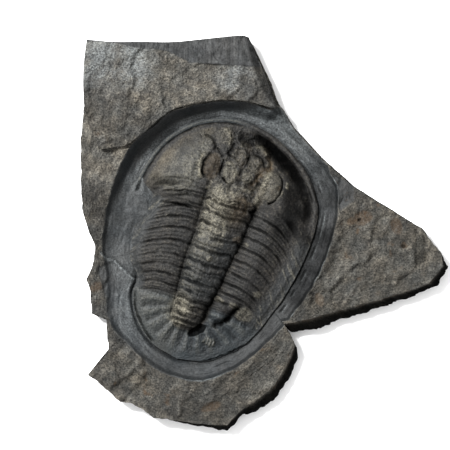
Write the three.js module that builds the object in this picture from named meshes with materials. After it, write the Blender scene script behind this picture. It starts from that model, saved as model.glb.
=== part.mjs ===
// Trilobite fossil in its slab of dark shale, lying on the flat underside of the rock.
// Millimetres. +Z up, +Y towards the head of the fossil, origin at the middle of the underside.
import * as THREE from "three";
import { mergeVertices } from "three/addons/utils/BufferGeometryUtils.js";

// Heights above the underside.
const LOWER_BED_Z = 14.5; // wing, lobe and left ledge
const UPPER_BED_Z = 24; // rough bed across the top
const TRENCH_FLOOR_Z = 6.5;
const POCKET_FLOOR_Z = 4.5;
const FIT_GAP = 0.4; // all round the fossil and under it
const POCKET_LOOK = 0.025; // radians to each side of a spoke that the pocket has to clear
const CARAPACE_EDGE_Z = 8;

// Slab details.
const OUTLINE_STEP = 4.6;
const EDGE_CHAMFER = 0.9;
const UNDERCUT = 2.5; // how far the side leans in at the underside
const MIN_RIM_LEDGE = 2.4; // least rock left between the trench and the slab's edge
const TRENCH_PROFILE = [[0, 0], [0.45, 0.06], [0.75, 0.4], [0.93, 0.85]]; // share of width, share of rise
const BED_SHARES = [0, 0.15, 0.35, 0.6, 0.85, 1]; // loops between the trench's crest and the slab's edge
const STEP_RUN = 2.4; // width of the step up to the upper bed
const BEVEL_DROP = 5; // fall of the smooth facet along the top edge
const BEVEL_LENGTH = 18;
const RIGHT_FACET_WIDTH = 7; // steep facet down the right side of the upper bed
const RIGHT_FACET_DROP = 10;

// Fossil. Its own coordinates: p runs forward along the body, q to its right.
const BODY_CENTRE = new THREE.Vector2(-28, -6);
const BODY_LEAN = THREE.MathUtils.degToRad(19); // head leans to the right
const DOME_RISE = 5.5; // side lobes over the carapace edge
const AXIS_RISE = 5; // middle lobe over the side lobes
const RING_RELIEF = 0.9;
const FURROW_DEPTH = 1;
const EYE_RISE = 2.2;
const EYE_PLACE = { forward: 43.5, side: 19.5, radius: 8 };
const TAIL_FRONT = -44; // where the thorax meets the tail shield
const FIRST_RING = 28; // p of the first ring, then a quadratic with shorter and shorter rings
const RING_LENGTH = 8.3;
const RING_SHORTENING = 0.143;
const RING_COUNT = 12;
const SWEEP_START = 22; // side ribs bend back from here outwards
const SWEEP_RATE = 0.016;
const DOME_FULLNESS = 2.4; // power of the side-to-side curve, flatter on top as it grows
const FURROW_WIDTH = 1.8;
const AXIS_TAIL = [-66, -56]; // the middle lobe rises out of the tail shield over this stretch
const AXIS_FRONT = [58, 70]; // and sinks into the head shield over this one
const ACROSS_STEPS = 30;
const HEAD_STEPS = 15;
const TAIL_STEPS = 13;
const STEPS_PER_RING = 3;
const LOOP_STEPS = 240; // points on a smooth outline
const PARALLEL = 1e-9; // a ray and an edge with a smaller cross product never meet

// Broken and sawn outline of the slab, one point for each corner.
const SLAB_OUTLINE = [
  [113.5, -22], [113, -14], [104.5, -4.5], [101, 1.5], [96, 4], [57.5, 28], [37.5, 46], [20.5, 64.5],
  [11, 80.5], [3, 99.5], [-4.5, 115], [-8, 121.5], [-14.5, 122.25], [-56, 118], [-93, 118],
  [-109.5, 119.5], [-110.5, 102], [-111, 83], [-113.5, 56.5], [-113.4, 41], [-113.5, 25], [-112, 9.5],
  [-105.2, -9.5], [-106.5, -22], [-110.5, -31], [-108, -37], [-107, -52], [-98, -56], [-96.5, -74.5], [-109.5, -90.5],
  [-103.5, -94], [-89, -107.5], [-82, -108], [-67, -117.5], [-61, -118], [-32, -122.25], [-22, -121.5],
  [-11, -111], [-1, -104.5], [8, -97], [17, -82.5], [21, -72], [18.5, -65.5], [14, -58.5], [31, -55],
  [57.5, -47.5], [86, -39.5], [105, -33],
];

// Crest of the carved trench.
const TRENCH_RIM = [
  [46, 1.9], [48.1, 19.4], [46, 32], [35, 43], [27, 52], [18, 61.5], [10, 73], [-7.5, 80], [-26, 81.2],
  [-45, 78.1], [-60.6, 71.9], [-79.4, 56.2], [-87.5, 44.4], [-94.4, 25.6], [-99.4, 3.8], [-100.5, -12],
  [-98, -30], [-97.5, -52], [-92, -63.5], [-79.4, -75.6], [-68.8, -85.6], [-54.4, -91.9], [-40, -94.6],
  [-25, -90.6], [-9.4, -81.2], [5, -68.8], [16, -57], [29.4, -38.8], [39.4, -19.4],
];

// Half of the way round the fossil on each side, as [p, q] from the front of the head to the tail.
const HEAD_TIP = 75.4;
const TAIL_TIP = -78.2;
const LEFT_MARGIN = [
  [73.5, -17], [65.4, -34.2], [53, -47.3], [41.4, -53.4], [25.5, -58], [18.5, -58.8], [13.6, -46.5],
  [0, -50.3], [-7.3, -51.9], [-23.4, -49.6], [-30.3, -46.7], [-37.5, -39.5], [-47.5, -39.7],
  [-59, -34.7], [-68.4, -26.7], [-75.1, -15.4],
];
const RIGHT_MARGIN = [
  [72.2, 13.2], [64.5, 29.1], [54.6, 42], [40.2, 52.3], [25, 55.6], [3.2, 55.5], [-19.3, 51.6],
  [-32.9, 47.3], [-45.4, 43.1], [-59.7, 35.4], [-66.4, 28.2], [-74.3, 17.7],
];

// Share of the full dome and half width of the middle lobe, over p.
const DOME_ALONG = [[HEAD_TIP, 0], [60, 0.75], [40, 1.1], [10, 1], [-40, 0.9], [-56, 0.35], [TAIL_TIP, 0]];
const HALF_AXIS_ALONG = [[HEAD_TIP, 10], [45, 15], [28, 16], [-20, 14], [-52, 10], [-63, 5]];

// Front edge of the upper bed and of the smooth facet behind it, as y over x.
const UPPER_BED_FRONT = [
  [-111.5, 76], [-101, 51.2], [-85, 53.1], [-79.4, 56.2], [-66.9, 66.9],
  [-54.4, 75.6], [-26, 81.2], [9.4, 75.6],
];
const BEVEL_FRONT = [[-95, 117.5], [-60, 112], [-40, 105], [-6, 102.5]];

// Right edge of the upper bed, as x over y.
const UPPER_BED_RIGHT = [[75, 13], [99.5, 3], [115, -4.5], [122, -8]];

// Straight-line interpolation in a list of [at, value] pairs that runs up or down in at.
function alongTable(table, at) {
  const rows = table[0][0] < table.at(-1)[0] ? table : [...table].reverse();
  if (at <= rows[0][0]) return rows[0][1];
  for (let i = 1; i < rows.length; i += 1) {
    const [before, low] = rows[i - 1];
    const [after, high] = rows[i];
    if (at <= after) return THREE.MathUtils.mapLinear(at, before, after, low, high);
  }
  return rows.at(-1)[1];
}

// Point on the slab for body coordinates p and q.
function bodyToSlab(p, q) {
  const sine = Math.sin(BODY_LEAN);
  const cosine = Math.cos(BODY_LEAN);
  return new THREE.Vector2(p * sine + q * cosine, p * cosine - q * sine).add(BODY_CENTRE);
}

function angleFromBody(point) {
  return Math.atan2(point.y - BODY_CENTRE.y, point.x - BODY_CENTRE.x);
}

function pointAt(angle, radius) {
  return new THREE.Vector2(Math.cos(angle), Math.sin(angle)).multiplyScalar(radius).add(BODY_CENTRE);
}

// Distance from the body centre to a closed loop of points along one direction.
function radiusToLoop(loop, angle) {
  const SHARED_END = 1e-6; // so that a ray through a corner meets one of its two edges
  const ray = new THREE.Vector2(Math.cos(angle), Math.sin(angle));
  let reach = 0;
  loop.forEach((start, i) => {
    const offset = start.clone().sub(BODY_CENTRE);
    const edge = loop[(i + 1) % loop.length].clone().sub(start);
    const slant = ray.cross(edge);
    if (Math.abs(slant) < PARALLEL) return;
    const along = offset.cross(edge) / slant;
    const share = offset.cross(ray) / slant;
    if (along > 0 && share >= -SHARED_END && share <= 1 + SHARED_END) reach = Math.max(reach, along);
  });
  return reach;
}

// Closed loop through the corners, with each straight run cut into equal steps.
function straightLoop(corners, step) {
  return corners.flatMap(([x, y], i) => {
    const start = new THREE.Vector2(x, y);
    const end = new THREE.Vector2(...corners[(i + 1) % corners.length]);
    const pieces = Math.max(1, Math.round(start.distanceTo(end) / step));
    return Array.from({ length: pieces }, (_, k) => start.clone().lerp(end, k / pieces));
  });
}

// Closed smooth loop through hand-set points.
function smoothLoop(points, count) {
  const curve = new THREE.CatmullRomCurve3(points.map(([x, y]) => new THREE.Vector3(x, y, 0)), true);
  return curve.getPoints(count).slice(0, count).map((point) => new THREE.Vector2(point.x, point.y));
}

// One side of the fossil's margin as a smooth table of q over p.
function marginTable(side) {
  const points = [[HEAD_TIP, 0], ...side, [TAIL_TIP, 0]].map(([p, q]) => new THREE.Vector2(p, q));
  const fine = new THREE.SplineCurve(points).getPoints(LOOP_STEPS);
  return fine.map((point) => [point.x, point.y]);
}

const leftTable = marginTable(LEFT_MARGIN);
const rightTable = marginTable(RIGHT_MARGIN);

// Stations along the body, evenly set over each ring and closing up at both ends.
function bodyStations() {
  const lastRing = ringPlace(RING_COUNT);
  const head = Array.from({ length: HEAD_STEPS }, (_, i) => {
    const swing = 1 - Math.cos((Math.PI / 2) * (i / HEAD_STEPS));
    return HEAD_TIP - (HEAD_TIP - FIRST_RING) * swing;
  });
  const rings = Array.from({ length: RING_COUNT * STEPS_PER_RING }, (_, i) => ringPlace(i / STEPS_PER_RING));
  const tail = Array.from({ length: TAIL_STEPS + 1 }, (_, i) => {
    const swing = Math.sin((Math.PI / 2) * (i / TAIL_STEPS));
    return lastRing + (TAIL_TIP - lastRing) * swing;
  });
  return [...head, ...rings, ...tail];
}

// Place of ring number k along the body.
function ringPlace(k) {
  return FIRST_RING - RING_LENGTH * k + RING_SHORTENING * k * k;
}

// Ring number, with its fraction, at p.
function ringNumber(p) {
  const fall = RING_LENGTH ** 2 - 4 * RING_SHORTENING * (FIRST_RING - p);
  return (RING_LENGTH - Math.sqrt(Math.max(fall, 0))) / (2 * RING_SHORTENING);
}

// Height of the carapace at p and q, where reach is the margin's distance from the axis on that side.
function carapaceHeight(p, q, reach) {
  const across = Math.min(Math.abs(q) / Math.max(reach, 0.1), 1);
  const dome = DOME_RISE * alongTable(DOME_ALONG, p) * (1 - across ** DOME_FULLNESS);
  const halfAxis = alongTable(HALF_AXIS_ALONG, p);
  const behindCrown = 1 - THREE.MathUtils.smoothstep(p, ...AXIS_FRONT);
  const axisLength = THREE.MathUtils.smoothstep(p, ...AXIS_TAIL) * behindCrown;
  const axis = AXIS_RISE * axisLength * Math.sqrt(Math.max(0, 1 - (q / halfAxis) ** 2));
  const furrow = FURROW_DEPTH * axisLength * Math.exp(-(((Math.abs(q) - halfAxis) / FURROW_WIDTH) ** 2));
  const swept = p + SWEEP_RATE * Math.max(0, Math.abs(q) - SWEEP_START) ** 2;
  const ringed = THREE.MathUtils.smoothstep(p, TAIL_FRONT - RING_LENGTH, TAIL_FRONT) * (p < FIRST_RING ? 1 : 0);
  const ripple = RING_RELIEF * ringed * (1 - across ** 4) * Math.abs(Math.sin(Math.PI * ringNumber(swept)));
  const eyeDistance = Math.hypot(p - EYE_PLACE.forward, Math.abs(q) - EYE_PLACE.side) / EYE_PLACE.radius;
  const eye = EYE_RISE * Math.max(0, 1 - eyeDistance ** 2);
  return CARAPACE_EDGE_Z + dome + axis - furrow + ripple + eye;
}

// Height of the untouched rock: lower bed, upper bed and the facets along the upper bed's edges.
function bedHeight(x, y) {
  const onUpperBed = THREE.MathUtils.smoothstep(y - alongTable(UPPER_BED_FRONT, x), -STEP_RUN, 0);
  const bevel = THREE.MathUtils.clamp((y - alongTable(BEVEL_FRONT, x)) / BEVEL_LENGTH, 0, 1) * BEVEL_DROP;
  const rightEdge = alongTable(UPPER_BED_RIGHT, y);
  const rightFacet = THREE.MathUtils.smoothstep(x, rightEdge - RIGHT_FACET_WIDTH, rightEdge) * RIGHT_FACET_DROP;
  return THREE.MathUtils.lerp(LOWER_BED_Z, UPPER_BED_Z - bevel - rightFacet, onUpperBed);
}

// Triangles between two loops of the same length, given as lists of THREE.Vector3.
function band(inner, outer) {
  return inner.flatMap((start, i) => {
    const next = (i + 1) % inner.length;
    return [start, outer[i], outer[next], start, outer[next], inner[next]];
  });
}

// Flat cap over a loop of THREE.Vector3, facing up or down.
function cap(loop, facesUp) {
  const contour = loop.map((point) => new THREE.Vector2(point.x, point.y));
  return THREE.ShapeUtils.triangulateShape(contour, []).flatMap((corners) => {
    const [a, b, c] = corners.map((corner) => loop[corner]);
    const rising = b.clone().sub(a).cross(c.clone().sub(a)).z > 0;
    return rising === facesUp ? [a, b, c] : [a, c, b];
  });
}

// One closed body from loose triangles, with shared corners merged and slivers dropped.
function closedGeometry(corners) {
  const loose = new THREE.BufferGeometry().setFromPoints(corners);
  const merged = mergeVertices(loose, 1e-3);
  const index = merged.getIndex().array;
  const kept = [];
  for (let i = 0; i < index.length; i += 3) {
    const [a, b, c] = index.slice(i, i + 3);
    if (a !== b && b !== c && c !== a) kept.push(a, b, c);
  }
  merged.setIndex(kept);
  merged.computeVertexNormals();
  return merged;
}

// The rock: pocket, trench, beds, broken sides and flat underside, as loops from the inside outwards.
function shaleGeometry() {
  const edge = straightLoop(SLAB_OUTLINE, OUTLINE_STEP);
  const margin = [...leftTable, ...rightTable.slice(1, -1).reverse()].map(([p, q]) => bodyToSlab(p, q));
  const rim = smoothLoop(TRENCH_RIM, LOOP_STEPS);
  const spokes = edge.map((point) => {
    const angle = angleFromBody(point);
    const slab = point.distanceTo(BODY_CENTRE);
    const nearby = [-POCKET_LOOK, 0, POCKET_LOOK].map((turn) => radiusToLoop(margin, angle + turn));
    const pocket = Math.max(...nearby) + FIT_GAP;
    const crest = Math.min(radiusToLoop(rim, angle), slab - MIN_RIM_LEDGE);
    return { angle, slab, pocket, crest };
  }).sort((a, b) => a.angle - b.angle);
  const loop = (place) => spokes.map((spoke) => {
    const { radius, z } = place(spoke);
    const point = pointAt(spoke.angle, radius);
    return new THREE.Vector3(point.x, point.y, z ?? bedHeight(point.x, point.y));
  });
  const crestHeight = ({ angle, crest }) => {
    const point = pointAt(angle, crest + 1);
    return bedHeight(point.x, point.y);
  };
  const onWall = (share, rise) => (spoke) => ({
    radius: THREE.MathUtils.lerp(spoke.pocket, spoke.crest, share),
    z: THREE.MathUtils.lerp(TRENCH_FLOOR_Z, crestHeight(spoke), rise),
  });
  const onBed = (share) => (spoke) => ({
    radius: THREE.MathUtils.lerp(spoke.crest, spoke.slab - EDGE_CHAMFER, share),
    z: share === 0 ? crestHeight(spoke) : undefined,
  });
  const topOfSide = ({ angle, slab }) => {
    const point = pointAt(angle, slab - EDGE_CHAMFER);
    return bedHeight(point.x, point.y) - EDGE_CHAMFER;
  };
  const loops = [
    loop(({ pocket }) => ({ radius: pocket, z: POCKET_FLOOR_Z })),
    ...TRENCH_PROFILE.map(([share, rise]) => loop(onWall(share, rise))),
    ...BED_SHARES.map((share) => loop(onBed(share))),
    loop((spoke) => ({ radius: spoke.slab, z: topOfSide(spoke) })),
    loop((spoke) => ({ radius: spoke.slab - UNDERCUT * 0.3, z: topOfSide(spoke) * 0.5 })),
    loop(({ slab }) => ({ radius: slab - UNDERCUT, z: 0 })),
  ];
  const sides = loops.slice(1).flatMap((outer, i) => band(loops[i], outer));
  return closedGeometry([...cap(loops[0], true), ...sides, ...cap(loops.at(-1), false)]);
}

// The fossil: domed top as rows across the body, an upright rim and a flat base in the pocket.
function trilobiteGeometry() {
  const baseZ = POCKET_FLOOR_Z + FIT_GAP;
  const rows = bodyStations().map((p) => {
    const left = alongTable(leftTable, p);
    const right = alongTable(rightTable, p);
    return Array.from({ length: ACROSS_STEPS + 1 }, (_, i) => {
      const share = i / ACROSS_STEPS;
      const q = THREE.MathUtils.lerp(left, right, share);
      const point = bodyToSlab(p, q);
      return new THREE.Vector3(point.x, point.y, carapaceHeight(p, q, q < 0 ? -left : right));
    });
  });
  const top = rows.slice(1).flatMap((rear, j) => rear.slice(1).flatMap((rearRight, i) => {
    const front = rows[j];
    return [front[i], rear[i], rearRight, front[i], rearRight, front[i + 1]];
  }));
  const rightRim = rows.map((row) => row.at(-1));
  const leftRim = rows.slice(1, -1).map((row) => row[0]);
  const rim = [...leftRim, ...rightRim.reverse()];
  const foot = rim.map((point) => new THREE.Vector3(point.x, point.y, baseZ));
  return closedGeometry([...top, ...band(rim, foot), ...cap(foot, false)]);
}

function piece(name, geometry, color, roughness) {
  const material = new THREE.MeshStandardMaterial({ color, roughness, metalness: 0 });
  const mesh = new THREE.Mesh(geometry, material);
  mesh.name = name;
  return mesh;
}

const fossil = new THREE.Group();
fossil.add(piece("shale_matrix", shaleGeometry(), "#6b6a66", 0.85));
fossil.add(piece("trilobite", trilobiteGeometry(), "#5a5955", 0.6));

export default fossil;
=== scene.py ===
"""A large trilobite in relief, lying in a carved trench on a broken slab of dark shale.

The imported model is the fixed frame. Its two plain solids are replaced by fine surfaces: the split and
carved rock, the rough upper bed of the same rock, and the carapace with its rings, ribs and furrows.
Plan coordinates are in millimetres until the mesh is made. On the carapace they are (across, along):
across runs to the right of the body and along runs forward, as on the solids of the frame.
"""
import logging
import math
from dataclasses import dataclass, field
from enum import Enum
from typing import Callable, Sequence

import bpy
import numpy as np
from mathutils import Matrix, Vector


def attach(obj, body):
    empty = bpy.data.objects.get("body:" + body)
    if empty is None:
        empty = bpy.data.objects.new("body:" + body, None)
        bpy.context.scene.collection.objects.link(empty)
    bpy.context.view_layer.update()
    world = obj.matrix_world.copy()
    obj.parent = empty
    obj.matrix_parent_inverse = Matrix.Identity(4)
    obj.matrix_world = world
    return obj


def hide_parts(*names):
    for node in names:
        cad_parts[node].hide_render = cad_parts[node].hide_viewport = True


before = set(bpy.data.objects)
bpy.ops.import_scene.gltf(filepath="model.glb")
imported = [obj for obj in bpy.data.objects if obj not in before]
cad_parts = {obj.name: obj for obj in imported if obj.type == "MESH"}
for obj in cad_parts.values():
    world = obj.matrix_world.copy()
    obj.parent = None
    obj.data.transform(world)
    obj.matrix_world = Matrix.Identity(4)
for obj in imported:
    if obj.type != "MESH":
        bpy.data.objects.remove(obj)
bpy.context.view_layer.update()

Array = np.ndarray
Point = tuple[float, float]
Table = Sequence[Point]

MM = 0.001
LOG = logging.getLogger("trilobite")


class Tint(Enum):
    """The stains, wears and painted light and shade that a surface carries as vertex attributes, each from 0
    to 1.
    """

    CARVED = "carved"
    # Calcite films and scratches, and in a few places a painted highlight where a surface faces the light.
    PALE = "pale"
    RUST = "rust"
    # Painted shade in furrows, crevices and hollows and on sides that face away from the light, and darker
    # patches.
    PAINTED_SHADE_AND_DARKENING = "painted_shade_and_darkening"
    # Height over the surroundings: low places take the painted shade of hollows, high ones the crest colour.
    CREST = "crest"


# ---- plain mathematics


def smooth(value: Array, low: float, high: float) -> Array:
    """Smooth step.

    Args:
        value: What is stepped.
        low: Where the step starts, at 0.
        high: Where it ends, at 1. It may be the lower number, for a falling step.

    Returns:
        3 t^2 - 2 t^3, with t the clipped share of the way from low to high.
    """
    t = np.clip((value - low) / (high - low), 0.0, 1.0)
    return t * t * (3.0 - 2.0 * t)


def band(value: Array, start: float, rise: float, fall: float, end: float) -> Array:
    """1 from rise to fall, fading smoothly to 0 at start on one side and at end on the other."""
    return smooth(value, start, rise) * smooth(value, end, fall)


def bell(value: Array, middle: float, width: float | Array) -> Array:
    """Bell curve of height 1: e to the minus square of the distance over the width."""
    return np.exp(-(((value - middle) / width) ** 2))


def table(value: Array, rows: Table) -> Array:
    """Straight lines through (at, height) rows that run either way in at."""
    ordered = sorted(rows)
    return np.interp(value, [row[0] for row in ordered], [row[1] for row in ordered])


def lattice(ix: Array, iy: Array, seed: int) -> Array:
    """Fixed number from 0 to 1 for each whole-number cell, by mixing its two indices with the seed."""
    ix, iy = ix.astype(np.int64), iy.astype(np.int64)
    mixed = (ix * 374761393 + iy * 668265263 + seed * 974634777) & 0xFFFFFFFF
    mixed = ((mixed ^ (mixed >> 13)) * 1274126177) & 0xFFFFFFFF
    return ((mixed ^ (mixed >> 16)) & 0xFFFFFF) / float(0x1000000)


def gradient_noise(x: Array, y: Array, seed: int) -> Array:
    """Smooth noise of about -1 to 1 with one swell per unit.

    Each lattice corner has a fixed slope, and the four slopes around a point are blended by a fade curve.
    """
    ix, iy = np.floor(x), np.floor(y)
    fx, fy = x - ix, y - iy

    def corner(cx: int, cy: int) -> Array:
        """Height of the slope plane of one corner."""
        turn = 2.0 * math.pi * lattice(ix + cx, iy + cy, seed)
        return np.cos(turn) * (fx - cx) + np.sin(turn) * (fy - cy)

    u = fx**3 * (fx * (fx * 6.0 - 15.0) + 10.0)
    v = fy**3 * (fy * (fy * 6.0 - 15.0) + 10.0)
    low = corner(0, 0) * (1.0 - u) + corner(1, 0) * u
    high = corner(0, 1) * (1.0 - u) + corner(1, 1) * u
    return 1.5 * (low * (1.0 - v) + high * v)


def fractal(x: Array, y: Array, size: float, octaves: int, seed: int, gain: float = 0.5) -> Array:
    """Noise in octaves.

    Args:
        x: First plan coordinate, in millimetres.
        y: Second plan coordinate.
        size: Width of the largest swells, in millimetres.
        octaves: How many times the size is halved and added.
        seed: Which noise.
        gain: Height of each octave over the one before.

    Returns:
        Noise of about -1 to 1.
    """
    total, height, reach = np.zeros_like(x, dtype=float), 1.0, 0.0
    for octave in range(octaves):
        scale = 2.0**octave / size
        shifted_x, shifted_y = x * scale + 17.3 * octave, y * scale - 9.1 * octave
        total = total + height * gradient_noise(shifted_x, shifted_y, seed + octave)
        reach += height
        height *= gain
    return total / reach


def creased(x: Array, y: Array, size: float, octaves: int, seed: int, gain: float = 0.55) -> Array:
    """Noise folded at its zero line in every octave, so that round lumps meet in sharp creases."""
    total, height, reach = np.zeros_like(x, dtype=float), 1.0, 0.0
    for octave in range(octaves):
        scale = 2.0**octave / size
        fold = np.abs(gradient_noise(x * scale + 7.1 * octave, y * scale + 3.7 * octave, seed + octave))
        total = total + height * (2.2 * fold - 0.75)
        reach += height
        height *= gain
    return total / reach


def cells(x: Array, y: Array, size: float, seed: int) -> tuple[Array, Array]:
    """Grains in a jittered lattice.

    Args:
        x: First plan coordinate.
        y: Second plan coordinate.
        size: Width of a grain.
        seed: Which lattice.

    Returns:
        Distance to the nearest border between grains, in grain widths, and each grain's own number, 0 to 1.
    """
    gx, gy = x / size, y / size
    ix, iy = np.floor(gx), np.floor(gy)
    nearest, second = np.full_like(gx, 9.0), np.full_like(gx, 9.0)
    number = np.zeros_like(gx)
    for cx in (-1, 0, 1):
        for cy in (-1, 0, 1):
            px = ix + cx + lattice(ix + cx, iy + cy, seed)
            py = iy + cy + lattice(ix + cx, iy + cy, seed + 71)
            gap = np.hypot(gx - px, gy - py)
            closer = gap < nearest
            second = np.where(closer, nearest, np.minimum(second, gap))
            number = np.where(closer, lattice(ix + cx, iy + cy, seed + 137), number)
            nearest = np.where(closer, gap, nearest)
    return second - nearest, number


def caps(x: Array, y: Array, size: float, seed: int, tilt: float, bulge: float) -> Array:
    """Faceted surface of a broken rock.

    Each cell of a jittered lattice carries a cap: a plane with its own height and its own slope, bent down
    by the square of the distance from the cell's point. The surface is the highest of the caps that are
    near, so it is made of tilted facets that meet in creases.

    Args:
        x: First plan coordinate.
        y: Second plan coordinate.
        size: Width of a facet.
        seed: Which surface.
        tilt: Steepest slope of a facet.
        bulge: How far a facet bends down at its own width.

    Returns:
        The height, about level on average.
    """
    ix, iy = np.floor(x / size), np.floor(y / size)
    best = np.full_like(x, -np.inf)
    for cx in (-1, 0, 1):
        for cy in (-1, 0, 1):
            jx, jy = ix + cx, iy + cy
            dx = x - (jx + 0.15 + 0.7 * lattice(jx, jy, seed)) * size
            dy = y - (jy + 0.15 + 0.7 * lattice(jx, jy, seed + 71)) * size
            turn = 2.0 * math.pi * lattice(jx, jy, seed + 137)
            slope = tilt * lattice(jx, jy, seed + 211)
            plane = slope * (dx * np.cos(turn) + dy * np.sin(turn)) - bulge * (dx * dx + dy * dy) / size**2
            best = np.maximum(best, plane)
    return best + 0.25 * bulge


def shingles(x: Array, y: Array, size: float, rise: float, facing: float, seed: int) -> Array:
    """Shallow ramps that each end in a short drop, as split stone breaks across its beds.

    The place along a direction, bent by noise, is counted in ramps. Within a ramp the height climbs evenly
    and falls back over its last quarter.

    Args:
        x: First plan coordinate.
        y: Second plan coordinate.
        size: Length of a ramp.
        rise: Height of the drop.
        facing: Direction of the drops, in degrees.
        seed: Which surface.

    Returns:
        The height, level on average.
    """
    along = x * math.cos(math.radians(facing)) + y * math.sin(math.radians(facing))
    count = along / size + 1.5 * fractal(x, y, 2.2 * size, 4, seed)
    rest = count - np.floor(count)
    vary = 0.4 + 0.9 * lattice(np.floor(count), 0 * count, seed + 9)
    return rise * vary * (rest - smooth(rest, 0.74, 1.0) - 0.37)


def through(points: Sequence[Point], closed: bool = False, fineness: int = 8) -> Array:
    """Points of a smooth curve through given points.

    The curve is a Catmull-Rom spline: each stretch is a cubic whose end slopes are half the step between
    the two neighbours of that end.

    Args:
        points: The points that the curve passes through.
        closed: Whether the last point joins the first.
        fineness: How many points each stretch is cut into.

    Returns:
        An array of shape (n, 2).
    """
    knots = np.array(points, float)
    if closed:
        before, start, end, after = (np.roll(knots, shift, axis=0) for shift in (1, 0, -1, -2))
    else:
        padded = np.vstack([2 * knots[0] - knots[1], knots, 2 * knots[-1] - knots[-2]])
        before, start, end, after = padded[:-3], padded[1:-2], padded[2:-1], padded[3:]
    t = np.arange(fineness)[:, None, None] / fineness
    slope_in, slope_out = (end - before) / 2.0, (after - start) / 2.0
    curve = (
        (2 * t**3 - 3 * t**2 + 1) * start
        + (t**3 - 2 * t**2 + t) * slope_in
        + (3 * t**2 - 2 * t**3) * end
        + (t**3 - t**2) * slope_out
    )
    curve = curve.transpose(1, 0, 2).reshape(-1, 2)
    return curve if closed else np.vstack([curve, knots[-1]])


def line_distance(x: Array, y: Array, line: Array) -> tuple[Array, Array]:
    """Distance to a line of points and how far along it the nearest place is.

    Args:
        x: First plan coordinate.
        y: Second plan coordinate.
        line: The points, of shape (n, 2).

    Returns:
        The distance and the share of the line, 0 to 1.
    """
    best, along = np.full_like(x, np.inf), np.zeros_like(x)
    for step, ((x0, y0), (x1, y1)) in enumerate(zip(line[:-1], line[1:])):
        dx, dy = x1 - x0, y1 - y0
        t = np.clip(((x - x0) * dx + (y - y0) * dy) / max(dx * dx + dy * dy, 1e-9), 0.0, 1.0)
        gap = np.hypot(x - x0 - t * dx, y - y0 - t * dy)
        along = np.where(gap < best, (step + t) / (len(line) - 1), along)
        best = np.minimum(gap, best)
    return best, along


# ---- a surface being carved


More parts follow.
